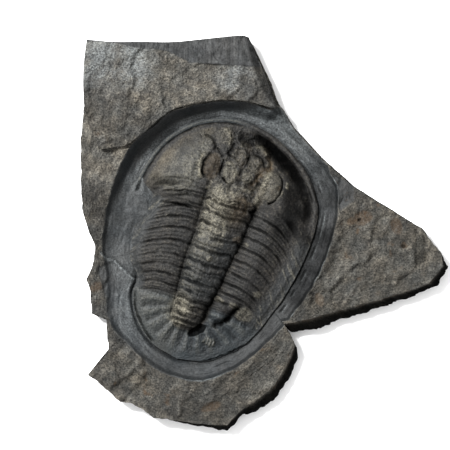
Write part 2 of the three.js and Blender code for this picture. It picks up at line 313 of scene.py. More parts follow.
@dataclass
class Relief:
    """Height and tints over a plan, to which furrows, ridges, plates, stains and painted shade are added.

    Attributes:
        x: First plan coordinate of each point, in millimetres.
        y: Second plan coordinate.
        height: Height of each point, in millimetres.
        tints: One array from 0 to 1 for each tint.
        bent_x: The first coordinate, bent by noise so that no mark has a straight edge.
        bent_y: The second one.
        wear: How much of a ridge or furrow is left at each point.
    """

    x: Array
    y: Array
    height: Array = field(init=False)
    tints: dict[Tint, Array] = field(init=False)
    bent_x: Array = field(init=False)
    bent_y: Array = field(init=False)
    wear: Array = field(init=False)

    def __post_init__(self) -> None:
        """Starts level and unstained."""
        self.height = np.zeros_like(self.x, dtype=float)
        self.tints = {tint: np.zeros_like(self.x, dtype=float) for tint in Tint}
        self.bent_x = self.x + 0.9 * self.noise(4.5, 3, 801, 0.6)
        self.bent_y = self.y + 0.9 * self.noise(4.5, 3, 811, 0.6)
        self.wear = 0.55 + 0.9 * self.patches(6, 3, 821, -0.7, 0.6)

    def noise(self, size: float, octaves: int, seed: int, gain: float = 0.5) -> Array:
        """Noise over the plan, as fractal() makes it."""
        return fractal(self.x, self.y, size, octaves, seed, gain)

    def patches(
        self, size: float, octaves: int, seed: int, low: float, high: float, gain: float = 0.5
    ) -> Array:
        """Noise over the plan, stepped smoothly from 0 to 1 between two of its values."""
        return smooth(self.noise(size, octaves, seed, gain), low, high)

    def lay_tint(self, tint: Tint, amount: Array) -> None:
        """Lays one tint over what is there: the rest of the way to 1 is covered in part."""
        covered = self.tints[tint]
        self.tints[tint] = covered + (1.0 - covered) * np.clip(amount, 0, 1)

    def stroke(
        self,
        points: Sequence[Point],
        rise: float,
        width: float,
        tint: Tint | None = None,
        strength: float = 0.6,
        taper: float = 0.18,
    ) -> None:
        """A ridge along a curve, or a furrow where rise is below 0.

        Its section is a bell curve, and it fades out over the first and last part of its length.

        Args:
            points: The curve, as given points.
            rise: Height at its middle.
            width: Half width of the bell.
            tint: What colours it, if anything.
            strength: How strongly.
            taper: Share of the length over which each end fades.
        """
        line = through(points, fineness=5)
        reach = 3.2 * width
        low, high = line.min(0) - reach, line.max(0) + reach
        near = (self.x > low[0]) & (self.x < high[0]) & (self.y > low[1]) & (self.y < high[1])
        gap, along = line_distance(self.bent_x[near], self.bent_y[near], line)
        fade = np.minimum(smooth(along, 0, taper), smooth(along, 1, 1.0 - taper)) if taper > 0 else 1.0
        amount = np.exp(-((gap / width) ** 2)) * fade * self.wear[near]
        self.height[near] += rise * amount
        if tint is not None:
            covered = self.tints[tint][near]
            self.tints[tint][near] = covered + (1.0 - covered) * np.clip(strength * amount, 0, 1)

    def strokes(self, tint: Tint, rows: Sequence[tuple]) -> None:
        """Ridges and furrows of one tint, each as (points, rise, width) with any strength and taper."""
        for points, rise, width, *rest in rows:
            self.stroke(points, rise, width, tint, *rest)

    def mound(
        self,
        middle: Point,
        radii: Point,
        rise: float,
        turn: float = 0,
        tint: Tint | None = None,
        strength: float = 0.6,
        flatness: float = 2,
    ) -> None:
        """A rounded lump, or a hollow where rise is below 0.

        Height is rise times 1 - r^flatness within the ellipse r = 1, softened at its foot.

        Args:
            middle: Its middle.
            radii: Its two half widths.
            rise: Height at its middle.
            turn: Degrees anticlockwise from the first coordinate to its first radius.
            tint: What colours it, if anything.
            strength: How strongly.
            flatness: Power of the profile, flatter on top as it grows.
        """
        cosine, sine = math.cos(math.radians(turn)), math.sin(math.radians(turn))
        dx, dy = self.bent_x - middle[0], self.bent_y - middle[1]
        r = np.hypot((dx * cosine + dy * sine) / radii[0], (dy * cosine - dx * sine) / radii[1])
        amount = np.clip(1.0 - r**flatness, 0, 1) ** 0.8
        self.height += rise * amount
        if tint is not None:
            self.lay_tint(tint, strength * smooth(amount, 0, 0.5))

    def mounds(self, tint: Tint, rows: Sequence[tuple]) -> None:
        """Lumps and hollows of one tint, as (middle, radii, rise, turn) with any strength and flatness."""
        for middle, radii, rise, turn, *rest in rows:
            self.mound(middle, radii, rise, turn, tint, *rest)

    def plate(
        self,
        corners: Sequence[Point],
        rise: float,
        edge: float = 0.7,
        tint: Tint | None = None,
        strength: float = 0.6,
        slope: Point = (0, 0),
    ) -> None:
        """A raised flake with straight sides.

        How deep a point lies inside the convex outline is its least distance to the sides. The height
        steps up over the edge width and then follows the slope.

        Args:
            corners: The outline's corners, anticlockwise.
            rise: Height of the flake.
            edge: Width of its broken edge.
            tint: What colours it, if anything.
            strength: How strongly.
            slope: Rise per millimetre along each coordinate.
        """
        inside = np.full_like(self.x, np.inf)
        for (x0, y0), (x1, y1) in zip(corners, [*corners[1:], corners[0]]):
            length = math.hypot(x1 - x0, y1 - y0)
            depth = ((x1 - x0) * (self.bent_y - y0) - (y1 - y0) * (self.bent_x - x0)) / length
            inside = np.minimum(inside, depth)
        middle = np.mean(np.array(corners), axis=0)
        tilt = slope[0] * (self.x - middle[0]) + slope[1] * (self.y - middle[1])
        on = smooth(inside, -0.2 * edge, edge)
        self.height += on * (rise + tilt)
        if tint is not None:
            self.lay_tint(tint, strength * on)


def split_face(x: Array, y: Array, seed: int) -> tuple[Array, Array]:
    """Relief of a rough split face of shale.

    The sum of broad swells, ramps that end in low steps, creased lumps that lie along one direction, small
    facets and fine grit, over a plan that is bent by noise.

    Args:
        x: First plan coordinate.
        y: Second plan coordinate.
        seed: Which face.

    Returns:
        The height in millimetres, and how high each point stands over its own surroundings, 0 to 1.
    """
    bend_x = x + 1.2 * fractal(x, y, 6, 3, seed + 40)
    bend_y = y + 1.2 * fractal(x, y, 6, 3, seed + 50)
    lay, stretch = math.radians(62), 0.55
    with_lay = (bend_x * math.cos(lay) + bend_y * math.sin(lay)) * stretch
    over_lay = bend_y * math.cos(lay) - bend_x * math.sin(lay)
    swell = 1.4 * fractal(x, y, 38, 2, seed)
    flakes = shingles(x, y, 23, 2.2, -35, seed + 1) + shingles(bend_x, bend_y, 11, 1.2, 70, seed + 2)
    flakes += 0.9 * creased(bend_x, bend_y, 17, 2, seed + 9)
    facets = 0.6 * caps(bend_x, bend_y, 7, seed + 3, 0.16, 0.8)
    lumps = creased(with_lay, over_lay, 7, 4, seed + 5, 0.6)
    lumps -= 0.45 * creased(x, bend_y, 4, 3, seed + 8, 0.65)
    grit = 0.34 * fractal(bend_x, bend_y, 1.4, 2, seed + 6, 0.8)
    crest = np.clip(0.5 + 0.22 * facets + 0.30 * lumps + 0.30 * grit, 0, 1)
    return swell + flakes + facets + lumps + grit, crest


# ---- where things lie


@dataclass(frozen=True)
class BodyAxes:
    """Where the carapace lies on the slab.

    Attributes:
        x: Slab coordinate of the body's centre.
        y: The other one.
        lean: How far the head leans to the right.
    """

    x: float = -28.0
    y: float = -6.0
    lean: float = math.radians(19)

    def to_slab(self, across: Array, along: Array) -> tuple[Array, Array]:
        """Slab coordinates of a place on the body: a turn by the lean, then a shift to the centre."""
        sine, cosine = math.sin(self.lean), math.cos(self.lean)
        return self.x + along * sine + across * cosine, self.y + along * cosine - across * sine

    def polar(self, points: Array) -> tuple[Array, Array]:
        """Angle and distance of slab points from the body's centre."""
        dx, dy = points[:, 0] - self.x, points[:, 1] - self.y
        return np.arctan2(dy, dx), np.hypot(dx, dy)


BODY = BodyAxes()

# The margin of the carapace from the front of the head back along each side, as (along, across).
HEAD_TIP = 76.0
TAIL_TIP = -78.4
LEFT_MARGIN = [
    (75, -18), (67, -36), (54, -49), (42, -55.3), (26, -59.5), (18.5, -60.2), (13.6, -47.5),
    (0, -50.3), (-7.3, -51.9), (-23.4, -49.6), (-30.3, -46.7), (-37.5, -40), (-47.5, -39.7),
    (-59, -34.7), (-68.4, -26.7), (-75.1, -15.4),
]
# The same side where rock still fills the notch behind the cheek.
FILLED_NOTCH = [(26, -59.5), (16, -60), (6, -57), (-4, -53.6), (-14, -51.6), (-23.4, -49.6)]
FILLED_LEFT_MARGIN = [*LEFT_MARGIN[:4], *FILLED_NOTCH, *LEFT_MARGIN[10:]]
RIGHT_MARGIN = [
    (73, 13.8), (65.2, 29.8), (55.2, 42.7), (40.5, 53), (25, 56.2), (3.2, 55.5), (-19.3, 51.6),
    (-32.9, 47.3), (-45.4, 43.1), (-59.7, 35.4), (-66.4, 28.2), (-74.3, 17.7),
]

# Corners of the slab, anticlockwise from the tip of the wing.
SLAB_OUTLINE = [
    (113.5, -22), (113, -14), (104.5, -4.5), (101, 1.5), (96, 4), (57.5, 28), (37.5, 46), (20.5, 64.5),
    (11, 80.5), (3, 99.5), (-4.5, 115), (-8, 121.5), (-14.5, 122.25), (-56, 118), (-93, 118), (-109.5, 119.5),
    (-110.5, 102), (-111, 83), (-113.5, 56.5), (-113.4, 41), (-113.5, 25), (-112, 9.5), (-105.2, -9.5),
    (-106.5, -22), (-110.5, -31), (-108, -37), (-107, -52), (-98, -56), (-96.5, -74.5), (-109.5, -90.5),
    (-103.5, -94), (-89, -107.5), (-82, -108), (-67, -117.5), (-61, -118), (-32, -122.25), (-22, -121.5),
    (-11, -111), (-1, -104.5), (8, -97), (17, -82.5), (21, -72), (18.5, -65.5), (14, -58.5), (31, -55),
    (57.5, -47.5), (86, -39.5), (105, -33),
]

# Crest of the carved trench, anticlockwise from the right.
TRENCH_RIM = [
    (46, 1.9), (48.1, 19.4), (46, 32), (35, 43), (27, 52), (18, 61.5), (10, 73), (-7.5, 80), (-26, 81.2),
    (-45, 78.1), (-60.6, 71.9), (-79.4, 56.2), (-87.5, 44.4), (-94.4, 25.6), (-99.4, 3.8), (-100.5, -12),
    (-98, -30), (-97.5, -52), (-92, -63.5), (-79.4, -75.6), (-68.8, -85.6), (-54.4, -91.9), (-40, -94.6),
    (-25, -90.6), (-9.4, -81.2), (5, -68.8), (16, -57), (29.4, -38.8), (39.4, -19.4),
]


def margin_rows(side: Table) -> Table:
    """One side of the margin as a fine table of across over along."""
    return [tuple(row) for row in through([(HEAD_TIP, 0), *side, (TAIL_TIP, 0)], fineness=14)]


def run_along(line: Array) -> Array:
    """Length of a line of points up to each of them."""
    return np.concatenate([[0], np.cumsum(np.hypot(*np.diff(line, axis=0).T))])


def subdivide(corners: Sequence[Point], step: float) -> Array:
    """Points at even steps along a closed outline of straight sides."""
    ends = np.array([*corners, corners[0]], float)
    run = run_along(ends)
    at = np.linspace(0, run[-1], int(run[-1] / step), endpoint=False)
    return np.stack([np.interp(at, run, ends[:, 0]), np.interp(at, run, ends[:, 1])], axis=1)


def radius_over_angle(loop: Array) -> Callable[[Array], Array]:
    """A closed loop around the body's centre as a function that gives its distance at an angle."""
    angle, radius = BODY.polar(loop)
    order = np.argsort(angle)
    return lambda at: np.interp(at, angle[order], radius[order], period=2.0 * math.pi)


# ---- meshes from grids


def grid_quads(rows: int, columns: int, wraps: bool) -> Array:
    """Quads of a grid of points in row order.

    Args:
        rows: Number of rows.
        columns: Number of points in a row.
        wraps: Whether the last column joins the first.

    Returns:
        Corner indices, of shape (n, 4).
    """
    across = np.arange(columns if wraps else columns - 1)
    start = (np.arange(rows - 1)[:, None] * columns + across).ravel()
    beside = (np.arange(rows - 1)[:, None] * columns + (across + 1) % columns).ravel()
    return np.stack([start, start + columns, beside + columns, beside], axis=1)


def make_piece(
    name: str, points: Array, quads: Array, others: Sequence[Sequence[int]], tints: dict[Tint, Array]
) -> bpy.types.Object:
    """A mesh object at the origin.

    Args:
        name: The piece's name.
        points: Its corners in millimetres, of shape (n, 3).
        quads: Its quads.
        others: Its faces of any other number of sides.
        tints: Its tints, one number for each corner.

    Returns:
        The object, linked into the scene, with smooth shading.
    """
    mesh = bpy.data.meshes.new(name)
    mesh.vertices.add(len(points))
    mesh.vertices.foreach_set("co", (points * MM).astype(np.float32).ravel())
    corners = np.concatenate([quads.ravel(), *[np.array(face) for face in others]]).astype(np.int32)
    sizes = np.array([4] * len(quads) + [len(face) for face in others], np.int32)
    mesh.loops.add(len(corners))
    mesh.loops.foreach_set("vertex_index", corners)
    mesh.polygons.add(len(sizes))
    mesh.polygons.foreach_set("loop_start", np.concatenate([[0], np.cumsum(sizes)[:-1]]).astype(np.int32))
    mesh.polygons.foreach_set("loop_total", sizes)
    mesh.update(calc_edges=True)
    mesh.validate()
    mesh.polygons.foreach_set("use_smooth", np.ones(len(mesh.polygons), bool))
    for tint, values in tints.items():
        layer = mesh.attributes.new(tint.value, "FLOAT", "POINT")
        layer.data.foreach_set("value", np.clip(values, 0, 1).astype(np.float32).ravel())
    piece = bpy.data.objects.new(name, mesh)
    bpy.context.scene.collection.objects.link(piece)
    return piece


def settle(piece: bpy.types.Object, node: str) -> None:
    """Rides a piece on the one body, in place of a node of the frame."""
    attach(piece, "root")
    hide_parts(node)
    LOG.info("%s: %d corners, %d faces", piece.name, len(piece.data.vertices), len(piece.data.polygons))


# ---- materials


def linear(hex_colour: str) -> tuple[float, float, float, float]:
    """An sRGB hex colour as the linear colour that shaders take."""
    values = [int(hex_colour.lstrip("#")[i : i + 2], 16) / 255.0 for i in (0, 2, 4)]
    return (*[v / 12.92 if v <= 0.04045 else ((v + 0.055) / 1.055) ** 2.4 for v in values], 1)


def add_node(
    tree: bpy.types.NodeTree, kind: str, settings: dict | None = None, **inputs: object
) -> bpy.types.Node:
    """Adds a shader node.

    Args:
        tree: The material's nodes.
        kind: The node's type, without its ShaderNode prefix.
        settings: Properties of the node itself.
        **inputs: Value or output socket for each input, by its name with spaces as underscores, or by its
            number as i0, i1 and so on.

    Returns:
        The node.
    """
    node = tree.nodes.new("ShaderNode" + kind)
    for key, value in (settings or {}).items():
        setattr(node, key, value)
    for key, value in inputs.items():
        label = key.replace("_", " ")
        socket = node.inputs[int(key[1:])] if key[0] == "i" and key[1:].isdigit() else node.inputs[label]
        if isinstance(value, bpy.types.NodeSocket):
            tree.links.new(value, socket)
        else:
            socket.default_value = value
    return node


def mix_colour(
    tree: bpy.types.NodeTree, share: object, base: object, over: object, blend: str = "MIX"
) -> bpy.types.NodeSocket:
    """The colour of one over another by a share, as an output socket."""
    settings = {"data_type": "RGBA", "blend_type": blend, "clamp_factor": True}
    return add_node(tree, "Mix", settings, i0=share, i6=base, i7=over).outputs[2]


def maths(tree: bpy.types.NodeTree, operation: str, first: object, second: object) -> bpy.types.NodeSocket:
    """The result of one sum on two numbers, as an output socket held to 0 to 1."""
    return add_node(tree, "Math", {"operation": operation, "use_clamp": True}, i0=first, i1=second).outputs[0]


@dataclass(frozen=True)
class StoneFinish:
    """A mineral surface whose colours come from tints on the mesh and from noise at real grain sizes.

    Attributes:
        name: The material's name, for the real stone and how its surface was made.
        body: Colour of the body of the stone.
        crest: Colour of what stands proud, dusted and weathered, and lighter as a painted highlight.
        hollow: Painted shade in pits and furrows, also laid in broad patches of darker stone.
        carved: Colour where a tool has ground it smooth.
        pale: Colour of calcite films and scratches, also laid as a painted highlight where a surface faces
            the light.
        rust: Colour of iron stains.
        painted_shade_and_darkening: Colour of painted shade where hardly any light gets in, and of darker
            patches.
        mottle: Tones of the coarse grain, laid over the broken stone.
        speck: Tones of the fine grain.
        broad: Tones of patches about 30 mm wide.
        warmth: Tones of cooler and warmer patches about 11 mm wide.
        roughness: Roughness of the untouched stone.
        carved_roughness: Roughness where it is ground smooth.
        sheen_level: Specular level, 0.5 for a common mineral.
        grain_mm: Width of one grain.
        bump_mm: Height of the grain that is too fine for the mesh.
    """

    name: str
    body: str
    crest: str
    hollow: str
    carved: str
    pale: str
    rust: str
    # Near-black colour of painted shade.
    painted_shade_and_darkening: str = "#050505"
    mottle: tuple[str, str] = ("#808080", "#e6e5e0")
    speck: tuple[str, str] = ("#545556", "#ececeb")
    broad: tuple[str, str] = ("#929496", "#dbd8d2")
    warmth: tuple[str, str] = ("#b6bbc0", "#c3bbb0")
    roughness: float = 0.86
    carved_roughness: float = 0.6
    sheen_level: float = 0.35
    grain_mm: float = 1.1
    bump_mm: float = 0.18

    def make(self) -> bpy.types.Material:
        """Builds the node material.

        Returns:
            The material: body colour between the painted shade of hollows and the crests, which are dusted
            and lighter as a painted highlight, mottled at the grain size and in broad tones, with carving,
            calcite, rust and painted shade laid over it by the mesh's tints, and a fine grain as bump. Where
            shade is painted it has no sheen.
        """
        material = bpy.data.materials.new(self.name)
        material.use_nodes = True
        tree = material.node_tree
        shader = tree.nodes["Principled BSDF"]
        place = add_node(tree, "TexCoord").outputs["Object"]

        def noise(size_mm: float, detail: float, rough: float = 0.55) -> bpy.types.NodeSocket:
            """Noise with swells of a real width, as an output socket."""
            scale = 1.0 / (size_mm * MM)
            made = add_node(tree, "TexNoise", None, Vector=place, Scale=scale, Detail=detail, Roughness=rough)
            return made.outputs["Fac"]

        def spread(value: object, low: float, high: float) -> bpy.types.NodeSocket:
            """A number stretched from low to high onto 0 to 1, as an output socket."""
            made = add_node(tree, "MapRange", None, Value=value, From_Min=low, From_Max=high)
            return made.outputs["Result"]

        def tint(which: Tint) -> bpy.types.NodeSocket:
            """One of the mesh's tints, as an output socket."""
            return add_node(tree, "Attribute", {"attribute_name": which.value}).outputs["Fac"]

        def between(pair: tuple[str, str], share: object) -> bpy.types.NodeSocket:
            """A colour that runs from the first of a pair to the second, as an output socket."""
            return mix_colour(tree, share, linear(pair[0]), linear(pair[1]))

        carved = tint(Tint.CARVED)
        rough_share = maths(tree, "SUBTRACT", 1, carved)
        broken_share = maths(tree, "MULTIPLY", rough_share, 0.75)
        coarse = spread(noise(1.5 * self.grain_mm, 4, 0.75), 0.30, 0.70)
        fine = noise(1.1 * self.grain_mm, 3, 0.7)
        patches = spread(noise(18, 4, 0.6), 0.35, 0.65)
        speckle = spread(noise(1.6, 3), 0.15, 0.55)
        speck = between(self.speck, spread(fine, 0.36, 0.64))
        broad = between(self.broad, spread(noise(32, 3, 0.65), 0.36, 0.64))
        warmth = between(self.warmth, spread(noise(11, 3, 0.6), 0.38, 0.62))
        # Painted shade in the hollows, and the crest colour with its painted highlight on what stands proud.
        colour = between((self.hollow, self.body), spread(tint(Tint.CREST), 0, 0.55))
        colour = mix_colour(tree, spread(tint(Tint.CREST), 0.5, 1), colour, linear(self.crest))
        colour = mix_colour(tree, broken_share, colour, between(self.mottle, coarse), "OVERLAY")
        colour = mix_colour(tree, spread(rough_share, -0.6, 1.4), colour, speck, "OVERLAY")
        colour = mix_colour(tree, broken_share, colour, broad, "OVERLAY")
        colour = mix_colour(tree, 0.42, colour, warmth, "OVERLAY")
        colour = mix_colour(tree, maths(tree, "MULTIPLY", patches, 0.22), colour, linear(self.hollow))
        ground = between((self.carved, self.body), maths(tree, "MULTIPLY", patches, 0.35))
        ground = mix_colour(tree, 0.55, ground, speck, "OVERLAY")
        colour = mix_colour(tree, carved, colour, ground)
        # Calcite films and scratches, and the painted highlights that share their tint.
        film = mix_colour(tree, 0.8, linear(self.pale), speck, "OVERLAY")
        colour = mix_colour(tree, maths(tree, "MULTIPLY", tint(Tint.PALE), speckle), colour, film)
        rusty = maths(tree, "MULTIPLY", tint(Tint.RUST), speckle)
        colour = mix_colour(tree, rusty, colour, linear(self.rust))
        # Painted shade, near black, where its tint lies.
        colour = mix_colour(tree, tint(Tint.PAINTED_SHADE_AND_DARKENING), colour, linear(self.painted_shade_and_darkening))
        tree.links.new(colour, shader.inputs["Base Color"])
        grey, smooth_grey = (self.roughness,) * 3 + (1,), (self.carved_roughness,) * 3 + (1,)
        tree.links.new(mix_colour(tree, carved, grey, smooth_grey), shader.inputs["Roughness"])
        # No sheen where shade is painted.
        sheen = maths(tree, "MULTIPLY", maths(tree, "SUBTRACT", 1, tint(Tint.PAINTED_SHADE_AND_DARKENING)), self.sheen_level)
        tree.links.new(sheen, shader.inputs["Specular IOR Level"])
        strength, depth = spread(rough_share, -0.25, 1), self.bump_mm * MM
        bump = add_node(tree, "Bump", None, Height=fine, Strength=strength, Distance=depth)
        tree.links.new(bump.outputs["Normal"], shader.inputs["Normal"])
        return material


@dataclass(frozen=True)
class FloorFinish:
    """Matt white paper, which gives the eye nothing but a clean ground and the soft shadow."""

    name: str = "matt_white_paper"
    colour: str = "#fafafa"

    def make(self) -> bpy.types.Material:
        """Builds the material: one flat white with no gloss."""
        material = bpy.data.materials.new(self.name)
        material.use_nodes = True
        shader = material.node_tree.nodes["Principled BSDF"]
        shader.inputs["Base Color"].default_value = linear(self.colour)
        shader.inputs["Roughness"].default_value = 1.0
        shader.inputs["Specular IOR Level"].default_value = 0.0
        return material


# Dark shale, split by hand and ground with an air tool: dull beige-grey grain with a painted highlight on its
# crests and painted shade in its pits, and smooth blue-grey where the tool has been.
SHALE = StoneFinish(
    name="split_and_ground_shale",
    body="#434240",
    crest="#686663",
    hollow="#1a1a1a",
    carved="#232628",
    pale="#777b7c",
    rust="#4b3a28",
    grain_mm=0.9,
    bump_mm=0.7,
)

# Calcite and clay that took the place of the carapace: darker than the rock, with a beige bloom on worn
# crests, painted shade in its furrows and a low sheen on the smooth cheeks.
CARAPACE = StoneFinish(
    name="mineralised_carapace",
    body="#1f1e1d",
    crest="#3d3b37",
    hollow="#080808",
    carved="#1b2124",
    pale="#716d61",
    rust="#3a3021",
    roughness=0.72,
    carved_roughness=0.66,
    sheen_level=0.42,
    grain_mm=0.9,
    bump_mm=0.35,
)


# ---- the rock


@dataclass
class ShaleSlab:
    """The slab below the rough upper bed: wing, lobe, ledge, carved trench, broken sides and underside.

    Attributes:
        spokes: Points round each loop.
        trench_rows: Loops across the trench.
        bed_rows: Loops from the trench's crest to the slab's edge.
        side_rows: Loops down the broken side.
        floor_z: Height of the trench's floor.
        covered_z: Height of the rock that the upper bed hides.
        tuck: How far the floor runs in under the carapace.
        notch_tuck: How much further it does so behind the left cheek.
        least_ledge: Least rock between the trench's crest and the slab's edge.
        bare_ledge: The same where the trench runs out over the slab's edge.
        undercut: How far the side leans in at the underside.
        layer: Thickness of one bed in the broken side.
    """

    spokes: int = 660
    trench_rows: int = 46
    bed_rows: int = 78
    side_rows: int = 18
    floor_z: float = 6.6
    covered_z: float = 11.0
    tuck: float = 6.5
    notch_tuck: float = 12.0
    least_ledge: float = 1.6
    bare_ledge: float = 0.15
    undercut: float = 2.5
    layer: float = 1.6

    # All of these are over degrees round the body. First, the height of the bed.
    BED_HEIGHTS = [
        (-180, 13), (-175, 11), (-147, 10.8), (-138, 13.4), (-110, 13.8), (-60, 14), (-52.2, 13.4),
        (-50.5, 15), (-20, 15.4), (22, 15), (33, 12.4), (58, 12), (67, 17.5), (75, 18.6), (140, 18.6),
        (152, 18), (168, 17.2), (174, 16), (180, 13),
    ]
    # Share of the climb out of the trench that is a slow ramp, and where its steep part starts.
    RAMPS = [
        (-180, 0.66), (-150, 0.60), (-120, 0.55), (-60, 0.50), (-20, 0.55), (25, 0.60), (45, 0.5),
        (70, 0.18), (120, 0.16), (145, 0.40), (160, 0.64), (180, 0.66),
    ]
    STEP_STARTS = [
        (-180, 0.84), (-150, 0.80), (-120, 0.72), (-60, 0.76), (-20, 0.84), (25, 0.84), (45, 0.6),
        (70, 0.36), (120, 0.34), (145, 0.55), (160, 0.86), (180, 0.84),
    ]
    # How strongly the broken side leans out below the top, and how deep the crevice round the fossil is.
    LEANS = [
        (-180, 0.3), (-105, 0.3), (-84, 1.1), (-70, 1.8), (-50, 1.8), (-44, 2.1), (-20, 2), (-8, 1.3),
        (20, 0.8), (50, 1), (60, 0.3), (180, 0.3),
    ]
    CREVICE = [
        (-180, 0), (-162, 0.2), (-152, 2.6), (-120, 2.2), (-100, 0.8), (-60, 0.4), (-20, 0.7), (40, 0.9),
        (75, 0.8), (95, 0.35), (126, 0.25), (136, 0.1), (144, 0), (180, 0),
    ]
    # Dust on the ground rock and how far it reaches from the fossil, then painted shade on the ground rock,
    # deepest on the right, and how far the untouched rock is darkened.
    DUST = [
        (-180, 0.08), (-165, 0.20), (-140, 0.36), (-115, 0.05), (-60, 0.04), (-20, 0.03), (18, 0.06),
        (32, 0.30), (50, 0.50), (62, 0.5), (75, 0.34), (110, 0.42), (138, 0.38), (150, 0.14), (165, 0.05),
        (180, 0.08),
    ]
    DUST_REACH = [
        (-180, 16), (-140, 16), (-110, 9), (20, 9), (36, 26), (60, 24), (80, 8), (100, 5), (140, 5),
        (165, 22), (180, 16),
    ]
    GROUND_PAINTED_SHADE = [
        (-180, 0.22), (-160, 0.10), (-140, 0.05), (-125, 0.20), (-105, 0.34), (-60, 0.56), (-20, 0.68),
        (30, 0.6), (60, 0.25), (100, 0.2), (150, 0.25), (180, 0.15),
    ]
    ROCK_DARKENING = [
        (-180, 0.22), (-150, 0.10), (-135, 0.16), (-110, 0.12), (-60, 0.26), (-45, 0.18), (30, 0.16),
        (60, 0), (140, 0), (152, 0), (160, 0.24), (180, 0.22),
    ]
    # The crack that crosses the ledge at the left.
    CRACK = [(-103, -10), (-98, -15.5), (-93, -18), (-87, -23), (-82, -28), (-77.5, -30.5)]
    # Rusty hollows as (middle, radii, depth), and pits with painted shade, by their middles.
    HOLLOWS = (
        ((56, 6), (3.6, 2.8), 0.7), ((63, 8), (7, 5), 0.5), ((84, 3), (4, 6), 0.5),
        ((89, -9), (2.2, 2.2), 1.1), ((36, -43), (3, 5), 0.5),
        ((-32, -110), (7, 3.2), 0.8), ((-104, -35), (4.5, 3.4), 0.6),
    )
    PITS = ((61, 7), (88.6, -9.4))
    # Places where a flake has come away, as (corners, depth, edge, tint, strength, slope); two take painted
    # shade.
    SCARS = (
        ([(48.5, 12), (58, 18.5), (57.5, 30.5), (50, 33.5), (44, 36)],
         0.9, 1.2, Tint.CARVED, 0.7, (0, 0)),
        ([(95, -24), (104, -19), (103, -3), (95, 1)],
         1.6, 1.4, Tint.PAINTED_SHADE_AND_DARKENING, 0.4, (0.10, 0.02)),
        ([(-104, -22), (-98.5, -42), (-90, -40), (-92, -18)],
         1.2, 1.4, Tint.CARVED, 0.7, (0, 0)),
        ([(-94, -98), (-78, -104), (-66, -97), (-80, -86)],
         1.3, 1.5, Tint.PAINTED_SHADE_AND_DARKENING, 0.2, (0.04, -0.06)),
    )

    def plan(self) -> dict[str, Array]:
        """Lays out the spokes.

        Returns:
            For each spoke its angle, its angle in degrees, the radii of the fossil's margin, the trench's
            crest and the slab's edge, and how far the side below it leans out.
        """
        edge = subdivide(SLAB_OUTLINE, 0.4)
        edge = edge[np.linspace(0, len(edge), self.spokes, endpoint=False).astype(int)]
        angle, radius = BODY.polar(edge)
        order = np.argsort(angle)
        angle, radius, edge = angle[order], radius[order], edge[order]
        degrees = np.degrees(angle)
        run = run_along(edge)
        sawn = smooth(edge[:, 1], 100, 112)
        cleaved = band(degrees, 2, 8, 52, 60)
        jag = 1.5 * fractal(run, 0 * run, 11, 4, 5, 0.6) * (1.0 - 0.75 * np.maximum(sawn, cleaved)) - 0.5
        slab = radius + jag
        sides = [*margin_rows(FILLED_LEFT_MARGIN), *margin_rows(RIGHT_MARGIN)]
        margin = np.array([BODY.to_slab(across, along) for along, across in sides])
        rim = radius_over_angle(through(TRENCH_RIM, closed=True, fineness=20))(angle)
        rim = rim + 1.1 * fractal(angle * 90, 0 * angle, 12, 5, 15, 0.6)
        tangent = np.roll(edge, -3, axis=0) - np.roll(edge, 3, axis=0)
        tangent /= np.linalg.norm(tangent, axis=1)[:, None]
        shaded = np.clip(0.45 * tangent[:, 1] + 0.9 * tangent[:, 0], 0, 1)
        ragged = 0.85 + 0.45 * fractal(run, 0 * run, 11, 4, 17, 0.65)
        lip = 1.5 * band(degrees, -6, 4, 56, 66)
        bare = band(degrees, 30, 35, 64, 68)
        ledge = self.least_ledge * (1.0 - bare) + self.bare_ledge * bare
        return {
            "angle": angle,
            "degrees": degrees,
            "fossil": radius_over_angle(margin)(angle),
            "rim": np.minimum(rim * (1.0 - bare) + slab * bare, slab - ledge),
            "slab": slab,
            "flare": 0.2 + lip + 5.6 * table(degrees, self.LEANS) * shaded * ragged,
        }

    def surface(self) -> tuple[Array, dict[Tint, Array]]:
        """Points of all loops from under the fossil outwards, down the side and in under the slab.

        Each spoke runs straight out from the body's centre. Over the trench the height goes from the floor
        to the bed by a smooth wall, and beyond its crest it is the bed with a split face laid over it.

        Returns:
            The points, of shape (loops, spokes, 3), and the tints.
        """
        plan = self.plan()
        degrees = plan["degrees"][None, :]
        notch = band(degrees, 138, 144.5, 158, 173)
        start = plan["fossil"] - self.tuck - self.notch_tuck * notch
        trench = np.linspace(0, 1, self.trench_rows)[:, None]
        bed = np.linspace(0, 1, self.bed_rows + 1)[1:, None]
        in_trench = start + (plan["rim"] - start) * trench
        on_bed = plan["rim"] + (plan["slab"] - plan["rim"]) * bed
        radius = np.vstack([in_trench, on_bed])
        x = BODY.x + radius * np.cos(plan["angle"])
        y = BODY.y + radius * np.sin(plan["angle"])
        relief = Relief(x, y)
        out = radius - plan["fossil"]
        share = np.clip(out / (plan["rim"] - plan["fossil"]), 0, 1)
        beyond = np.clip(radius - plan["rim"], 0, None)
        rough, crest = split_face(x, y, 3)
        ramp, start_at = table(degrees, self.RAMPS), table(degrees, self.STEP_STARTS)
        wall = ramp * share**1.35 + (1.0 - ramp) * smooth((share - start_at) / (1.0 - start_at), 0, 1)
        on_rock = smooth(share, 0.86, 1)
        run = degrees * 1.15
        floor = self.floor_z + 0.8 * fractal(run * 0.5, out, 8, 3, 21)
        scribed = 0.55 * creased(run * 0.22 + out * 0.3, out, 2.6, 4, 22, 0.7)
        scribed += 0.22 * relief.noise(3, 4, 23, 0.8)
        bed_z = table(degrees, self.BED_HEIGHTS)
        relief.height = floor + (bed_z - floor) * wall + scribed * (1.0 - on_rock) + rough * on_rock
        covered = smooth(y - table(x, UpperBed.FRONT), 0.6, 3) * (beyond > 0)
        relief.height = relief.height * (1.0 - covered) + self.covered_z * covered
